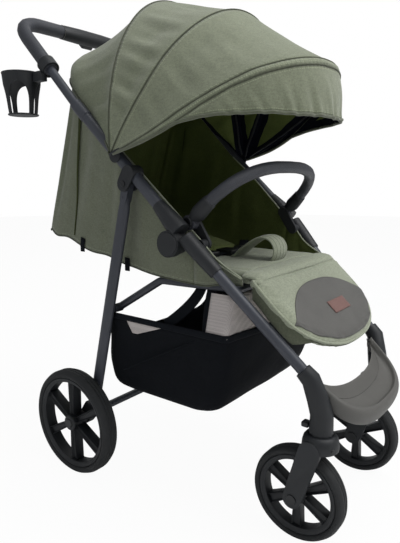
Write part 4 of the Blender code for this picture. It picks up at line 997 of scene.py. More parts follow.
def from_node(name, shrink):
    """A merged copy of a CAD solid's mesh, drawn in a little so that the stuffed pad fills its space."""
    bm = bmesh.new()
    bm.from_mesh(frame["nodes"][name].data)
    bmesh.ops.remove_doubles(bm, verts=bm.verts, dist=MERGE)
    bm.normal_update()
    for vert in bm.verts:
        vert.co -= vert.normal * shrink
    return bm


def apply_modifiers(item):
    graph = bpy.context.evaluated_depsgraph_get()
    mesh = bpy.data.meshes.new_from_object(item.evaluated_get(graph))
    item.modifiers.clear()
    old = item.data
    item.data = mesh
    bpy.data.meshes.remove(old)


def swell(item, voxel, most, pressure=4.0, frames=20):
    """Even out a pad's faces and blow it up a little with the cloth solver, moving no point further than most."""
    step = item.modifiers.new("even", "REMESH")
    step.mode = "VOXEL"
    step.voxel_size = voxel
    apply_modifiers(item)
    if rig.quick():
        return
    start = [vert.co.copy() for vert in item.data.vertices]
    solver = item.modifiers.new("swell", "CLOTH")
    solver.settings.use_pressure = True
    solver.settings.uniform_pressure_force = pressure
    solver.settings.effector_weights.gravity = 0.0
    scene = bpy.context.scene
    for number in range(1, frames + 1):
        scene.frame_set(number)
    apply_modifiers(item)
    scene.frame_set(1)
    for vert, home in zip(item.data.vertices, start):
        move = vert.co - home
        if move.length > most:
            vert.co = home + move.normalized() * most


def pinch(item, depth, width, distance):
    """Press a sewn channel into a pad, where distance(point) is how far a point lies from the seam."""
    bm = bmesh.new()
    bm.from_mesh(item.data)
    bm.normal_update()
    for vert in bm.verts:
        away = distance(vert.co)
        vert.co -= vert.normal * depth * math.exp(-(away / width) ** 2)
    bm.to_mesh(item.data)
    bm.free()


def stuffed(name, node_name, body, kind, slot, fullness, shrink, voxel, most, channel):
    """A pad in the space of a CAD node, with a sewn channel given as (depth, width, distance from its seam)."""
    item = piece(name, from_node(node_name, shrink))
    swell(item, voxel, most)
    pinch(item, *channel)
    step = item.modifiers.new("round", "SUBSURF")
    step.levels = step.render_levels = 1
    item.data.materials.clear()
    item.data.materials.append(finish(kind))
    item.data.shade_smooth()
    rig.ride(item, body)
    stand_for(item, node_name, slot)
    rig.padded(item, fill=fullness)
    return item


def calf_place(x, along, lift=0.011):
    """A place over the calf rest, from its pivot down its length."""
    return CALF_PIVOT + CALF_DOWN * along + CALF_OUT * lift + Vector((x, 0, 0))


def calf_rim():
    """A function that gives a place on the calf rest's outline, as (across, down), drawn in by an inset."""
    half = [Vector((-wide, along)) for along, wide in CALF_OUTLINE]
    points = half + [Vector((-spot.x, spot.y)) for spot in reversed(half)]
    line = resampled([hermite(points, share) for share in shares(160)])

    def outline(share, inset=0.0):
        ahead = (line(share + 0.004) - line(share - 0.004)).normalized()
        return line(share) + Vector((ahead.y, -ahead.x)) * inset
    return outline


def stuffed_rim(tree, outline):
    """A function that says how far inside the calf rest's outline the stuffed pad's edge lies, evened out."""
    outside, reach, near_steps = 0.02, 0.05, 9
    insets = []
    for share in shares(RIM_STEPS):
        origin, target = (calf_place(*outline(share, inset), 0.0) for inset in (-outside, 0.0))
        gap = tree.ray_cast(origin, (target - origin).normalized(), reach)[3]
        insets.append(0.0 if gap is None else gap - outside)

    def evened(middle):
        near = sorted(insets[max(0, middle - near_steps):middle + near_steps + 1])
        near = near[len(near) // 4:len(near) - len(near) // 4]
        return sum(near) / len(near)

    def edge_at(share):
        low = min(int(share * RIM_STEPS), RIM_STEPS - 1)
        part = share * RIM_STEPS - low
        return evened(low) * (1 - part) + evened(low + 1) * part
    return edge_at


class MakePads(bpy.types.Operator):
    """Stuff the seat, backrest and calf rest, and sew on the calf patch, tag, skirt and piping"""
    bl_idname = "pushchair.make_pads"
    bl_label = "Make pads"

    def execute(self, context):
        seat_seam, seat_level, back_seam, back_level, calf_seam = 0.150, 0.52, 0.062, 0.20, 0.012

        def seat_channel(spot):
            return abs(abs(spot.x) - seat_seam) if spot.z > seat_level else 1

        def back_channel(spot):
            return min(abs(abs(spot.x) - back_seam), abs(spot.y - back_level))

        def calf_channel(spot):
            return abs((spot - CALF_PIVOT).dot(CALF_DOWN) - calf_seam)
        seat = stuffed("seat_cushion", "seat_pad", "seat_frame", "seat_weave", "pad_cloth", fullness=0.5,
                       shrink=0.002, voxel=0.005, most=0.006, channel=(0.004, 0.004, seat_channel))
        stuffed("back_cushion", "backrest", "backrest", "back_cloth", "green_cloth", fullness=0.4,
                shrink=0.002, voxel=0.006, most=0.006, channel=(0.005, 0.006, back_channel))
        calf = stuffed("calf_cushion", "calf_rest", "calf_rest", "seat_weave", "pad_cloth", fullness=0.5,
                       shrink=0.0015, voxel=0.005, most=0.005, channel=(0.003, 0.004, calf_channel))
        thickness = context.scene.pushchair_cloth.thickness
        self.calf_trim(calf, thickness)

        def bridge(across, along):
            """From the seat's front edge, over the gap at the tilting joint, to the calf rest"""
            x = 0.1835 * (2 * across - 1)
            edge = min(1.0, 16 * min(across, 1 - across))
            spots = [Vector((x, -0.1985, 0.5352)), Vector((x, -0.2120, 0.5368)), calf_place(x, -0.004, 0.0155),
                     calf_place(x, 0.010, 0.0125)]
            return hermite(spots, along) - Vector((0, 0, 0.010 * (1 - edge) ** 2))
        item = cloth_sheet("seat_bridge", sheet_bm(60, 10, bridge), Vector((0, -0.2, 0.4)),
                           ("seat_weave", "lining"), None, thickness, "stretched", [seat.name, calf.name])
        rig.blend(item, "seat_frame", "calf_rest", start=(0, -0.205, 0.530), end=(0, -0.233, 0.515))
        return {"FINISHED"}

    def calf_trim(self, calf, thickness):
        """The grained patch with its rounded top edge, the plain tag on it, the rim piping and the skirt"""
        tree = BVHTree.FromObject(calf, bpy.context.evaluated_depsgraph_get())
        outline = calf_rim()
        edge_at = stuffed_rim(tree, outline)

        def rest_on(spot, lift):
            """The place on the pad over which a point of a laid piece rests"""
            hit = tree.ray_cast(spot + CALF_OUT * 0.05, -CALF_OUT)
            return (hit[0] if hit[0] is not None else spot) + CALF_OUT * lift

        def rim_place(share, lift, inset):
            spot = outline(share, edge_at(share) + inset)
            return calf_place(spot.x, spot.y, lift)

        def patch(across, along):
            x = 0.178 * (2 * across - 1)
            top = Vector((x, 0.044 + 0.100 * (abs(x) / 0.20) ** 2.6))
            rim = 0.205 + 0.59 * across
            spot = top.lerp(outline(rim, edge_at(rim) + 0.0085), along)
            return rest_on(calf_place(spot.x, spot.y), 0.0014)
        under = calf_place(0, 0.1, -0.2)
        cloth_sheet("calf_patch", sheet_bm(60, 30, patch), under, ("calf_patch",), "calf_rest", 0.0014, "laid",
                    [calf.name])
        tag = sheet_bm(12, 8, lambda across, along: rest_on(
            calf_place(-0.027 + 0.080 * across, 0.104 + 0.030 * along), 0.0030))
        cloth_sheet("calf_tag", tag, under, ("tag",), "calf_rest", 0.0010, "laid", ["calf_patch"])
        rod("calf_piping", [rim_place(share, 0.0040, 0.0010) for share in shares(RIM_STEPS)], 0.0030,
            "pale_piping", "calf_rest")

        def skirt(across, along):
            spot = outline(across)
            drop = along * (0.005 + 0.030 * min(1.0, max(0.0, (0.166 - spot.y) / 0.045)))
            gather = ripple(across, (0.045, 0.0012, 0.4), (0.028, 0.0008, 1.0)) * along
            return rim_place(across, 0.0030, 0.0016) + Vector((math.copysign(gather, spot.x), 0, -drop))
        cloth_sheet("calf_skirt", sheet_bm(140, 8, skirt), calf_place(0, 0.08, 0), ("shade_cloth", "lining"),
                    "calf_rest", thickness, "hung", [calf.name])


# Harness

SEAT_TOP = 0.5345
# The arch of the crotch strap, from the seat forward, as (y, z)
CROTCH_ARCH = ((-0.0700, 0.5365), (-0.0790, 0.5415), (-0.0965, 0.5570), (-0.1270, 0.5785), (-0.1540, 0.5875),
               (-0.1740, 0.5820), (-0.1850, 0.5660), (-0.1840, 0.5480), (-0.1770, 0.5370))
CROTCH_HALF_WIDTH = 0.0290
CROTCH_HALF_THICKNESS = 0.0052
# A waist strap from the buckle outwards, as (x, y, height over the seat)
WAIST_STRAP = ((0.020, -0.046, 0.010), (0.050, -0.040, 0.006), (0.100, -0.016, 0.004), (0.150, 0.010, 0.006),
               (0.176, 0.022, 0.016))


class MakeHarness(bpy.types.Operator):
    """Make the padded crotch strap, the buckle and the waist straps"""
    bl_idname = "pushchair.make_harness"
    bl_label = "Make harness"

    def execute(self, context):
        steps = 48
        arch = resampled([hermite([Vector((0, *spot)) for spot in CROTCH_ARCH], share) for share in shares(60)])
        line = [arch(share) for share in shares(steps)]
        centre = Vector((0, -0.135, 0.540))
        out = []
        for step, spot in enumerate(line):
            ahead = line[min(step + 1, steps)] - line[max(step - 1, 0)]
            way = Vector((0, ahead.z, -ahead.y)).normalized()
            out.append(way if way.dot(spot - centre) > 0 else -way)
        strap = rod("crotch_strap", line, (CROTCH_HALF_WIDTH, CROTCH_HALF_THICKNESS), "seat_weave", "seat_frame",
                    flat=out, sides=24)
        stand_for(strap, "crotch_pad", "pad_cloth")
        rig.padded(strap, fill=0.4)
        for name, x in (("a", -0.0205), ("b", -0.0070), ("c", 0.0070), ("d", 0.0205)):
            rise = CROTCH_HALF_THICKNESS * math.sqrt(1 - (x / CROTCH_HALF_WIDTH) ** 2) - 0.0001
            rod("crotch_stitch_" + name, [spot + way * rise + Vector((x, 0, 0)) for spot, way in zip(line, out)],
                0.0005, "shade_cloth", "seat_frame", sides=6)
        for side, word, _ in SIDES:
            binding = Vector((side * (CROTCH_HALF_WIDTH - 0.0002), 0, 0))
            rod("crotch_binding_" + word, [spot + binding for spot in line], 0.0021, "pale_piping", "seat_frame")
        for side, word, _ in SIDES:
            ends = [Vector((side * x, y, SEAT_TOP + z)) for x, y, z in WAIST_STRAP]
            spots = [hermite(ends, share) for share in shares(24)]
            rod("waist_strap_" + word, spots, (0.0120, 0.0011), "webbing", "seat_frame",
                flat=[Vector((0, 0, 1))] * len(spots))
            bm = bmesh.new()
            bmesh.ops.create_cube(bm, size=1.0)
            bevelled(bm, 0.18, 3)
            place = Matrix.Translation((side * 0.060, -0.036, SEAT_TOP + 0.010))
            place = place @ Matrix.Rotation(side * 0.4, 4, "Z") @ Matrix.Diagonal((0.036, 0.026, 0.013, 1))
            bmesh.ops.transform(bm, matrix=place, verts=bm.verts)
            piece("strap_buckle_" + word, bm, "buckle", body="seat_frame")
        return {"FINISHED"}


# Basket

# Each level of the basket from its floor to its hem: height, front, rear, half width and corner radius
BASKET_LEVELS = (
    (0.205, -0.105, 0.150, 0.1707, 0.035),
    (0.225, -0.140, 0.172, 0.1932, 0.035),
    (0.270, -0.165, 0.176, 0.2067, 0.035),
    (0.340, -0.180, 0.160, 0.2157, 0.025),
    (0.405, -0.195, 0.146, 0.2247, 0.010),
)
BASKET_HEM = 0.405
BASKET_CENTRE = -0.02
LINK_HEIGHT = 0.494


def basket_line(z, front, rear, half, corner):
    """One level of the basket with its corners rounded, from the front right round."""
    points = []
    for side, end, quarter in ((-1, front + corner, 2), (1, front + corner, 3), (1, rear - corner, 0),
                               (-1, rear - corner, 1)):
        for share in shares(6):
            turn = math.pi / 2 * (quarter + share)
            points.append(Vector((side * (half - corner) + corner * math.cos(turn),
                                  end + corner * math.sin(turn), z)))
    return resampled(points + points[:1])


BASKET_LINES = [basket_line(*level) for level in BASKET_LEVELS]


def basket_place(share, height):
    """A place on the basket's wall, height from 0 at the floor to 1 at the hem, which is lower at the back."""
    back_start, back_dip, back_half = 0.13, 0.27, 0.215
    front_end, belly, belly_half, belly_foot = -0.12, 0.022, 0.2, 0.25
    rings = [line(share) for line in BASKET_LINES]
    if rings[-1].y > back_start:
        height *= 1 - back_dip * (1 - min(1.0, abs(rings[-1].x) / back_half) ** 8)
    spot = hermite(rings, height)
    out = (spot - Vector((0, BASKET_CENTRE, spot.z))).normalized()
    sag = math.sin(math.pi * min(1, height * 1.05))
    folds = noise.noise(Vector((spot.x * 9, spot.y * 9, spot.z * 14))) * 0.006 * sag
    if spot.y < front_end:
        spot.y -= belly * max(0.0, 1 - (spot.x / belly_half) ** 2) * max(0.0, height - belly_foot)
    return spot + out * folds


class MakeBasket(bpy.types.Operator):
    """Make the basket with its mesh windows, hem, seams, front net and hanging straps"""
    bl_idname = "pushchair.make_basket"
    bl_label = "Make basket"

    def execute(self, context):
        soft = [self.tub()]
        hem = [basket_place(share, 1.0) for share in shares(120)]
        out = [(spot - Vector((0, BASKET_CENTRE, spot.z))).normalized() for spot in hem]
        soft.append(rod("basket_hem", hem, (0.0075, 0.0016), "webbing", "rear_frame", flat=out))
        for side, word, _ in SIDES:
            seam = [Vector((side * 0.2215, 0.10 - 0.21 * share, 0.275 + 0.112 * share)) for share in shares(24)]
            soft.append(rod("basket_seam_" + word, seam, 0.0014, "webbing", "rear_frame"))
            soft.append(self.window(side, word))
        for item in soft:
            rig.squash(item, "frame_fold", axis=(0, 0, 1), anchor=(0, 0, BASKET_HEM), keep=0.05)
        for item in (self.front_net(), *self.straps()):
            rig.squash(item, "frame_fold", axis=(0, 0, 1), anchor=(0, 0, LINK_HEIGHT), keep=0.2)
        return {"FINISHED"}

    def tub(self):
        """The floor and the walls, in one sheet that is closed all round"""
        rows, floor_rows = 26, 8

        def place(across, along):
            row = along * rows
            if row > floor_rows:
                return basket_place(across, (row - floor_rows) / (rows - floor_rows))
            rim = basket_place(across, 0.0)
            spot = Vector((0, BASKET_CENTRE, rim.z - 0.004)).lerp(rim, row / floor_rows)
            return spot + Vector((0, 0, 0.003 * noise.noise(spot * 14)))
        bm = sheet_bm(120, rows, place, closed=True)
        bmesh.ops.dissolve_degenerate(bm, edges=bm.edges, dist=MERGE)
        tub = cloth_sheet("basket_tub", bm, Vector((0, BASKET_CENTRE, 0.33)), ("basket_weave",), "rear_frame",
                          0.0020, "hung", ["seat_link", "rear_leg_right"], even=False)
        stand_for(tub, "basket", "basket_cloth")
        return tub

    def window(self, side, word):
        """A three-cornered mesh window under the hem"""
        def place(across, along):
            top = Vector((0, -0.022 + 0.104 * across, 0.3985))
            spot = top.lerp(Vector((0, 0.066, 0.367)), along * 0.86)
            spot.x = side * (0.2268 - 0.1385 * (BASKET_HEM - spot.z))
            return spot
        return cloth_sheet("basket_window_" + word, sheet_bm(24, 10, place), Vector((0, 0, 0.35)),
                           ("basket_mesh",), "rear_frame", 0.0008, "laid", ["basket_tub"], even=False)

    def front_net(self):
        """The mesh that closes the front, from the seat link down to the hem"""
        def place(across, along):
            foot = basket_place((0.9715 + 0.341 * across) % 1.0, 1.0)
            head = Vector((foot.x * 0.86, max(-0.186, min(-0.131, foot.y * 0.95)), 0.4875))
            return head.lerp(foot, along)
        return cloth_sheet("basket_front_net", sheet_bm(80, 8, place), Vector((0, 0, 0.44)), ("basket_mesh",),
                           "seat_frame", 0.0010, "hung", ["seat_link"], even=False)

    def straps(self):
        """The webbing from the seat link down to the hem, two on each side"""
        for side, word, _ in SIDES:
            for label, top, foot in (("front", -0.124, -0.140), ("rear", -0.096, -0.030)):
                line = [Vector((side * (0.176 + 0.042 * share), top + (foot - top) * share ** 1.6,
                                0.492 - 0.086 * share)) for share in shares(12)]
                yield rod("basket_strap_%s_%s" % (label, word), line, (0.0130, 0.0011), "webbing", "seat_frame",
                          flat=[Vector((side, 0, 0.2)).normalized()] * len(line))


# Wheels

HUB_RADIUS = 0.019
AXLE_BORE = 0.0052
SPOKES = 6
CHAMFER = 0.002
# Radius over which a wheel has the thicker foam
LARGE_WHEEL = 0.11


def both_sides(half, profile):
    """A closed profile from its points on one side, as (radius, share of the half width)."""
    near = [(radius, half * share) for radius, share in profile]
    far = [(radius, -height) for radius, height in near]
    return far[:1] + near + far[:0:-1]


def spoke_bm(size, half):
    """One spoke along X, narrower and thicker at the hub, with a hollow between the ribs on each flank."""
    rib, hollow = 0.0032, half * 0.34
    bm = bmesh.new()
    bmesh.ops.create_cube(bm, size=1.0)
    bmesh.ops.transform(bm, matrix=Matrix.Diagonal((*size, 1)), verts=bm.verts)
    for vert in bm.verts:
        if vert.co.x < 0:
            vert.co.y *= 0.78
            vert.co.z *= 1.12
        else:
            vert.co.y *= 1.25
    flanks = [face for face in bm.faces if abs(face.normal.z) > 0.9]
    bmesh.ops.inset_individual(bm, faces=flanks, thickness=rib, use_even_offset=True)
    for face in flanks:
        face.normal_update()
        bmesh.ops.translate(bm, verts=list(face.verts), vec=-face.normal.normalized() * hollow)
    bevelled(bm, 0.0006, 2)
    return bm


def wheel_pieces(name, side, body):
    """A foam tyre, a rim with double-ribbed spokes, a hub and its cap, in the place of the CAD wheel."""
    low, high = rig.box("tyre_" + name)
    rim_low, rim_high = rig.box("rim_" + name)
    centre = (low + high) / 2
    radius = (high.z - low.z) / 2
    half = (high.x - low.x) / 2
    end = (rim_high.x - rim_low.x) / 2
    depth = 0.018 if radius > LARGE_WHEEL else 0.015
    inner = radius - depth
    turn = sideways(centre, 1)

    groove, shoulder = radius - 0.0016, radius - 0.0012
    tyre = spun(both_sides(half, [
        (inner + 0.0004, 0.8), (inner + depth * 0.28, 0.985), (inner + depth * 0.55, 1.0),
        (radius - depth * 0.2, 0.82), (shoulder, 0.56), (radius, 0.42), (radius, 0.27), (groove, 0.23),
        (groove, 0.15), (radius, 0.11)]), 96, turn, closed=True)
    stand_for(piece("tread_" + name, tyre, "foam_rubber", body=body), "tyre_" + name, "tyre")

    lip = inner - 0.011
    rim = spun(both_sides(half, [
        (inner, 0.8), (inner - 0.0015, 0.86), (inner - 0.004, 0.86), (lip, 0.66), (lip - 0.001, 0.2)]),
        96, turn, closed=True)
    for step in range(SPOKES):
        spoke = spoke_bm((lip - HUB_RADIUS + 0.008, 0.0165, half * 1.15), half)
        bmesh.ops.translate(spoke, verts=spoke.verts, vec=((lip + HUB_RADIUS) / 2, 0, 0))
        place = turn @ Matrix.Rotation(math.tau * (step + 0.5) / SPOKES + math.pi / 2, 4, "Z")
        bmesh.ops.transform(spoke, matrix=place, verts=spoke.verts)
        mesh = bpy.data.meshes.new("spoke")
        spoke.to_mesh(mesh)
        spoke.free()
        rim.from_mesh(mesh)
        bpy.data.meshes.remove(mesh)
    item = piece("spokes_" + name, rim, "moulding", body=body)
    stand_for(item, "rim_" + name, "dark_plastic")
    harden(item, 0.0005)
    near = [(HUB_RADIUS, end - CHAMFER), (HUB_RADIUS - CHAMFER, end), (AXLE_BORE, end)]
    hub = spun([(r, -h) for r, h in reversed(near)] + near, 48, turn, closed=True)
    harden(piece("hub_" + name, hub, "moulding", body=body), FINE_EDGE)
    cap("hub_cap_" + name, (0.0125, 0.0105), 0.004, sideways(centre + Vector((side * (end + 0.0012), 0, 0)), side),
        "buckle", body, 40)


class MakeWheels(bpy.types.Operator):
    """Make the four wheels, with grooved tyres, ribbed spokes and hub caps"""
    bl_idname = "pushchair.make_wheels"
    bl_label = "Make wheels"

    def execute(self, context):
        for side, word, letter in SIDES:
            wheel_pieces("rear_" + word, side, "rear_wheel_" + letter)
            # Both forks hold their wheel from the right-hand side, so both front caps are on the left
            wheel_pieces("front_" + word, 1, "front_wheel_" + letter)
        return {"FINISHED"}


# Hard parts

BUMPER_PIVOT = Vector(PIVOTS["bumper_swing"])
FOLD_COVER = Vector((0.2555, -0.0669, 0.5895))
# How far the ends of the footrest's tread rise over the heights that its rows give
END_RISE = 0.022
# Rows of the tread, from its back wall over its top and lip and back under it. Each has its half width, how square
# its ends are, its start in Y, its reach forward and how that bends, its height, its fall and how that eases
TREAD_ROWS = (
    (0.149, 0.90, -0.3445, 0.0375, 1.0, 0.3140, 0.0200, 1.0),
    (0.148, 0.90, -0.3430, 0.0390, 1.0, 0.3215, 0.0165, 1.0),
    (0.146, 0.85, -0.3490, 0.0530, 0.9, 0.3170, 0.0345, 0.7),
    (0.146, 0.80, -0.3510, 0.0690, 0.87, 0.3165, 0.0440, 0.7),
    (0.147, 0.75, -0.3525, 0.0820, 0.85, 0.3200, 0.0500, 0.7),
    (0.151, 0.72, -0.3530, 0.0890, 0.82, 0.3260, 0.0505, 0.7),
    (0.156, 0.70, -0.3530, 0.0955, 0.80, 0.3225, 0.0555, 0.7),
    (0.157, 0.70, -0.3520, 0.0965, 0.80, 0.3120, 0.0580, 0.65),
    (0.154, 0.70, -0.3500, 0.0890, 0.80, 0.3010, 0.0620, 0.6),
    (0.150, 0.75, -0.3470, 0.0700, 0.85, 0.2990, 0.0480, 0.7),
    (0.149, 0.85, -0.3450, 0.0500, 0.95, 0.3040, 0.0300, 0.9),
)
CREASE_ROW = 2
COLLAR_PROFILE = ((0.0245, 0.2378), (0.0285, 0.2366), (0.0330, 0.2310), (0.0355, 0.2220), (0.0362, 0.2120),
                  (0.0352, 0.2070), (0.0325, 0.2050), (0.0290, 0.2050))
RING_PROFILE = ((0.0078, 0.0), (0.0082, 0.0016), (0.0096, 0.0022), (0.0110, 0.0016), (0.0114, 0.0))
HANDLE_ANGLE = math.radians(45.0)
HANDLE_BAR = Vector((0.4321, 1.0989))


def dress_node(name, kind, bevel, angle=35):
    """Give a CAD node its finish, welded and smooth, with small rounded edges or split ones."""
    item = frame["nodes"][name]
    material = finish(kind)
    if item.data.materials:
        for number in range(len(item.data.materials)):
            item.data.materials[number] = material
    else:
        item.data.materials.append(material)
    for attribute in [a for a in item.data.attributes if a.name == "custom_normal"]:
        item.data.attributes.remove(attribute)
    item.data.shade_smooth()
    weld = item.modifiers.new("weld", "WELD")
    weld.merge_threshold = WELD
    if bevel:
        harden(item, bevel, angle)
    else:
        split = item.modifiers.new("split", "EDGE_SPLIT")
        split.split_angle = math.radians(angle)


class DressFrame(bpy.types.Operator):
    """Paint the tubes, mouldings and grips of the frame"""
    bl_idname = "pushchair.dress_frame"
    bl_label = "Dress frame"

    def execute(self, context):
        kinds = {
            "frame_paint": ("front_leg", "upper_tube", "rear_leg", "rear_axle", "seat_link"),
            "moulding": ("swivel_housing", "fork", "swivel_lock", "fold_lower", "fold_upper", "rear_bracket",
                         "rear_housing", "canopy_hinge", "bumper_mount", "fold_control", "cup_holder", "cup_clamp",
                         "brake_pedal", "bow"),
            "buckle": ("bumper_button", "fold_button", "harness_buckle"),
            "cover": ("handle_grip", "bumper_bar"),
            "grey_moulding": ("footrest",),
        }
        for kind, starts in kinds.items():
            for name in frame["nodes"]:
                if name.startswith(starts):
                    rounded = kind in ("cover", "frame_paint") or name.startswith("bow")
                    dress_node(name, kind, 0.0 if rounded else 0.0008)
        return {"FINISHED"}


class AddFittings(bpy.types.Operator):
    """Add covers, screws, seams and collars to the moulded joints and the handle"""
    bl_idname = "pushchair.add_fittings"
    bl_label = "Add fittings"

    def bumper_arm(self, word, side):
        """The flat arm at each end of the bar, and the ring round its button"""
        start, reach, half_width, half_length, power = 0.004, 0.058, 0.203, 0.159, 2.75
        steps, rounded = 12, 6
        slope = math.sqrt(0.5)
        line, sizes = [], []
        for step in range(steps + 1):
            rise = start + reach * step / steps
            across = half_width * (1 - min(1.0, rise / half_length) ** power) ** (1 / power)
            line.append(BUMPER_PIVOT + Vector((side * across, -slope * rise, slope * rise)))
            share = math.sin(math.pi * (step + 2) / 16) if step < rounded else 1 - 0.14 * (step - 5) / 7
            sizes.append((0.0178 * share, 0.0142 * (0.9 + 0.1 * share)))
        rod("bumper_arm_" + word, line, sizes, "moulding", "bumper", flat=[Vector((side, 0, 0))] * len(line),
            sides=24)
        ring = spun(RING_PROFILE, 48, sideways(BUMPER_PIVOT + Vector((side * 0.2155, 0, 0)), side))
        inside = BUMPER_PIVOT + Vector((side * 0.2, 0, 0))
        piece("bumper_ring_" + word, face_out(ring, inside), "buckle", body="bumper")

    def swivel_collar(self, word, letter):
        """The domed collar over each fork, with its plug, and the short tab of its lock"""
        x, y, _ = PIVOTS["fork_swivel_" + letter]
        collar = spun(COLLAR_PROFILE, 72, Matrix.Translation((x, y, 0)))
        thicken(piece("fork_collar_" + word, face_out(collar, Vector((x, y, 0.215))), "moulding",
                      body="fork_" + letter), 0.0030)
        way = Vector((-0.45, -0.89, 0.0))
        place = Matrix.Translation(Vector((x, y, 0.2165)) + way * 0.0365)
        place = place @ way.to_track_quat("Z", "Y").to_matrix().to_4x4()
        cap("fork_plug_" + word, (0.0034, 0.0026), 0.0022, place, "buckle", "fork_" + letter, 24, 0.0005)
        low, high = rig.box("swivel_lock_" + word)
        tab_depth, tab_height = 0.016, 0.0115
        bm = bmesh.new()
        bmesh.ops.create_cube(bm, size=1.0)
        place = Matrix.Translation(((low.x + high.x) / 2, low.y + tab_depth / 2, (low.z + high.z) / 2))
        place = place @ Matrix.Diagonal((high.x - low.x, tab_depth, tab_height, 1))
        bmesh.ops.transform(bm, matrix=place, verts=bm.verts)
        bevelled(bm, 0.0035, 4)
        stand_for(piece("lock_tab_" + word, bm, "buckle", body="swivel_lock_" + letter), "swivel_lock_" + word,
                  "dark_plastic")

    def footrest(self):
        """The curved tread between the front legs, with its back wall, crease and rolled lip"""
        def curve(turn, half, power, start, depth, bend, high, fall, ease):
            rise = max(0.0, math.sin(turn))
            return Vector((-math.copysign(abs(math.cos(turn)) ** power * half, math.cos(turn)),
                           start - depth * rise ** bend, high + END_RISE - (fall + END_RISE) * rise ** ease))

        def place(across, along):
            rows = [curve(math.pi * across, *row) for row in TREAD_ROWS]
            return hermite(rows + rows[:1], along)
        bm = sheet_bm(96, 66, place, closed=True)
        bmesh.ops.holes_fill(bm, edges=bm.edges, sides=0)
        bmesh.ops.recalc_face_normals(bm, faces=bm.faces)
        stand_for(piece("tread_plate", bm, "grey_moulding", body="front_frame"), "footrest", "grey_plastic")
        crease = [place(0.08 + 0.84 * share, CREASE_ROW / len(TREAD_ROWS)) + Vector((0, 0, 0.0002))
                  for share in shares(80)]
        rod("tread_crease", crease, 0.0007, "calf_patch", "front_frame", sides=6)

    def cup(self):
        """The cup holder's cage: four arched windows between pillars that widen into its top"""
        low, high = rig.box("cup_holder")
        centre = (low + high) / 2
        pillars, first_turn, waist, spread_turn = 4, math.radians(87), math.radians(9.5), math.radians(35.5)

        def radius_at(share):
            return 0.0350 + 0.0105 * share ** 0.8

        def on_wall(turn, radius, share):
            return Vector((centre.x + math.cos(turn) * radius, centre.y + math.sin(turn) * radius,
                           low.z + (high.z - low.z) * share))
        for number in range(pillars):
            def place(across, along):
                share = 0.02 + 0.98 * along
                arch = min(1.0, max(0.0, (share - 0.25) / 0.52))
                half = waist + spread_turn * (1 - math.sqrt(max(0.0, 1 - arch ** 2.4)))
                turn = first_turn + math.tau * number / pillars + (2 * across - 1) * half
                return on_wall(turn, radius_at(share), share)
            wall = piece("cup_pillar_%d" % number, face_out(sheet_bm(16, 40, place), centre), "moulding",
                         body="upper_frame")
            harden(thicken(wall, 0.0030), FINE_EDGE, 50)
            if number == 0:
                stand_for(wall, "cup_holder", "dark_plastic")
        for name, share, thick in (("rim", 0.985, 0.0024), ("foot", 0.022, 0.0021)):
            ring = [on_wall(math.tau * part, radius_at(share) - 0.0015, share) for part in shares(64)]
            rod("cup_" + name, ring, thick, "moulding", "upper_frame")
        bm = bmesh.new()
        bmesh.ops.create_circle(bm, cap_ends=True, segments=64, radius=radius_at(0.0) - 0.002)
        bmesh.ops.translate(bm, verts=bm.verts, vec=(centre.x, centre.y, low.z + 0.0025))
        thicken(piece("cup_floor", bm, "moulding", body="upper_frame", smooth=False), 0.0020)

    def disc(self, name, centre, side, radius, depth, kind, body):
        cap(name, (radius, radius * 0.96), depth, sideways(centre, side), kind, body, edge=depth * 0.25)

    def execute(self, context):
        _, rear_y, rear_z = PIVOTS["rear_frame_swing"]
        for side, word, letter in SIDES:
            fold = Vector((side * FOLD_COVER.x, FOLD_COVER.y, FOLD_COVER.z))
            self.disc("fold_cover_" + word, fold, side, 0.0245, 0.0022, "moulding", "front_frame")
            low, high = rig.box("rear_bracket_" + word)
            outer = high.x if side > 0 else low.x
            self.disc("leg_rivet_" + word, Vector((outer + side * 0.0008, rear_y, rear_z)), side, 0.0070, 0.0020,
                      "buckle", "upper_frame")
            _, wheel_y, wheel_z = PIVOTS["front_wheel_spin_" + letter]
            foot = Vector((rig.box("fork_" + word)[0].x - 0.0008, wheel_y, wheel_z))
            self.disc("fork_cap_" + word, foot, -1, 0.0105, 0.0024, "buckle", "fork_" + letter)
            self.bumper_arm(word, side)
            self.swivel_collar(word, letter)
        self.footrest()
        self.cup()
        ahead = heading(HANDLE_ANGLE)
        across = Vector((-ahead.y, ahead.x))
        for side, word, _ in SIDES:
            ring = [at(side * 0.0936, HANDLE_BAR + ahead * math.cos(math.tau * share) * 0.0180
                       + across * math.sin(math.tau * share) * 0.0168) for share in shares(32)]
            rod("handle_seam_" + word, ring, 0.0008, "calf_patch", "upper_frame", sides=6)
        return {"FINISHED"}


# Stage

CAMERA_PLACE = (-1.0406, -0.747, 0.7233)
CAMERA_TILT = math.radians(90 - 10.355)
CAMERA_HEADING = math.radians(-52.80)
# Focal length in pixels of a picture 543 pixels high, and the sensor's height in millimetres
FOCAL_PIXELS, PICTURE_PIXELS, SENSOR = 519.91, 543, 36
LAMP_TARGET = Vector((0, 0, 0.55))
FLOOR_RADIUS = 9.0
FLOOR_WHITE_SHARE = 0.955


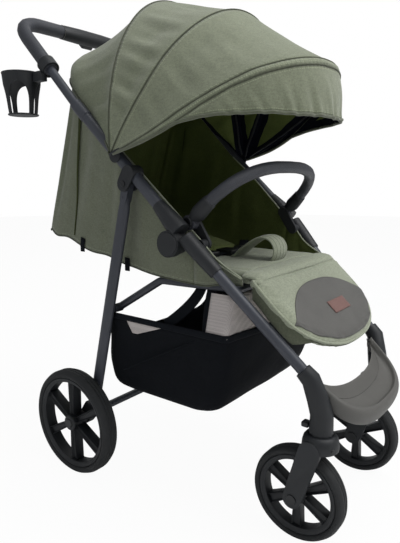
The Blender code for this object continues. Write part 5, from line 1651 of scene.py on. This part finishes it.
class BuildStage(bpy.types.Operator):
    """Set the camera, the lamps, the floor and the even light"""
    bl_idname = "pushchair.build_stage"
    bl_label = "Build stage"

    def execute(self, context):
        scene = context.scene
        stage = scene.pushchair_stage
        lens = bpy.data.cameras.new("camera")
        lens.lens = FOCAL_PIXELS / PICTURE_PIXELS * SENSOR
        lens.sensor_width = SENSOR
        lens.sensor_fit = "AUTO"
        camera = bpy.data.objects.new("camera", lens)
        camera.location = CAMERA_PLACE
        camera.rotation_euler = (CAMERA_TILT, 0, CAMERA_HEADING)
        scene.collection.objects.link(camera)
        scene.camera = camera
        scene.view_settings.view_transform = "Standard"
        for name, place, size, power, tint in (
            ("key", (0.7, -2.3, 2.9), 2.4, stage.key, (1.0, 0.995, 0.985)),
            ("top", (0.3, -0.9, 3.3), 1.8, stage.top, (1.0, 1.0, 0.995)),
            ("fill", (-3.0, 0.8, 1.6), 2.4, stage.fill, (0.97, 0.985, 1.0)),
            ("rim", (2.2, 2.0, 2.6), 2.2, stage.fill * 1.4, (1.0, 1.0, 1.0)),
        ):
            lamp = bpy.data.lights.new(name, "AREA")
            lamp.size = size
            lamp.energy = power
            lamp.color = tint
            item = bpy.data.objects.new(name, lamp)
            item.location = place
            item.rotation_mode = "QUATERNION"
            item.rotation_quaternion = (LAMP_TARGET - Vector(place)).to_track_quat("-Z", "Y")
            scene.collection.objects.link(item)
        self.sky(scene, stage)
        self.floor(stage)
        return {"FINISHED"}

    def sky(self, scene, stage):
        """An even light that the camera sees as white"""
        world = bpy.data.worlds.new("studio")
        world.use_nodes = True
        scene.world = world
        tree = world.node_tree
        tree.nodes.clear()
        rays = node(tree, "LightPath", {}).outputs
        dim = node(tree, "Background", {"Color": (0.96, 0.98, 1.0, 1.0), "Strength": stage.sky}).outputs[0]
        white = node(tree, "Background", {"Color": (1.0, 1.0, 1.0, 1.0), "Strength": 1.0}).outputs[0]
        mixed = node(tree, "MixShader", {0: rays["Is Camera Ray"], 1: dim, 2: white}).outputs[0]
        node(tree, "OutputWorld", {"Surface": mixed})

    def floor(self, stage):
        """A pale floor that keeps a little of the object's shadow"""
        bm = bmesh.new()
        bmesh.ops.create_circle(bm, cap_ends=True, segments=64, radius=FLOOR_RADIUS)
        floor = piece("floor", bm, smooth=False)
        made = Finish("studio_floor")
        colour_mix = made.mix(made.speckle(3.0, 2.0), stage.floor, shade(stage.floor, 0.985))
        made.surface({"Base Color": colour_mix, "Roughness": 0.9})
        glow = made.node("Emission", {"Color": (1, 1, 1, 1), "Strength": 1.0}).outputs[0]
        share = made.maths("MULTIPLY", made.node("LightPath", {}).outputs["Is Camera Ray"], FLOOR_WHITE_SHARE)
        mixed = made.node("MixShader", {0: share, 1: made.shader.outputs[0], 2: glow}).outputs[0]
        fill(made.tree, made.tree.nodes["Material Output"], {"Surface": mixed})
        floor.data.materials.append(made.material)
        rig.stage(floor)


class PushchairPanel(bpy.types.Panel):
    """The steps of dressing the pushchair"""
    bl_idname = "VIEW3D_PT_pushchair"
    bl_label = "Pushchair"
    bl_space_type = "VIEW_3D"
    bl_region_type = "UI"
    bl_category = "Pushchair"

    def draw(self, context):
        for name in GROUPS:
            group = getattr(context.scene, name)
            box = self.layout.box()
            for setting in group.__annotations__:
                box.prop(group, setting)
        for step in STEPS:
            self.layout.operator(step.bl_idname)


GROUPS = {"pushchair_cloth": ClothSettings, "pushchair_hard": HardSettings, "pushchair_stage": StageSettings}
STEPS = (BuildStage, DressFrame, AddFittings, MakeWheels, MakeCanopy, MakeShell, MakePads, MakeHarness,
         MakeBasket)
CLASSES = (*GROUPS.values(), *STEPS, PushchairPanel)


def register():
    for kind in CLASSES:
        bpy.utils.register_class(kind)
    for name, kind in GROUPS.items():
        setattr(bpy.types.Scene, name, bpy.props.PointerProperty(type=kind))


def unregister():
    for name in GROUPS:
        delattr(bpy.types.Scene, name)
    for kind in reversed(CLASSES):
        bpy.utils.unregister_class(kind)


def main():
    register()
    for step in STEPS:
        group, name = step.bl_idname.split(".")
        getattr(getattr(bpy.ops, group), name)()
    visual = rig.bounds()
    with open("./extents.json", "w") as out:
        json.dump({"cad": [list(corner) for corner in CAD_BOX],
                   "visual": [list(corner) for corner in visual]}, out)


if __name__ == "__main__":
    main()
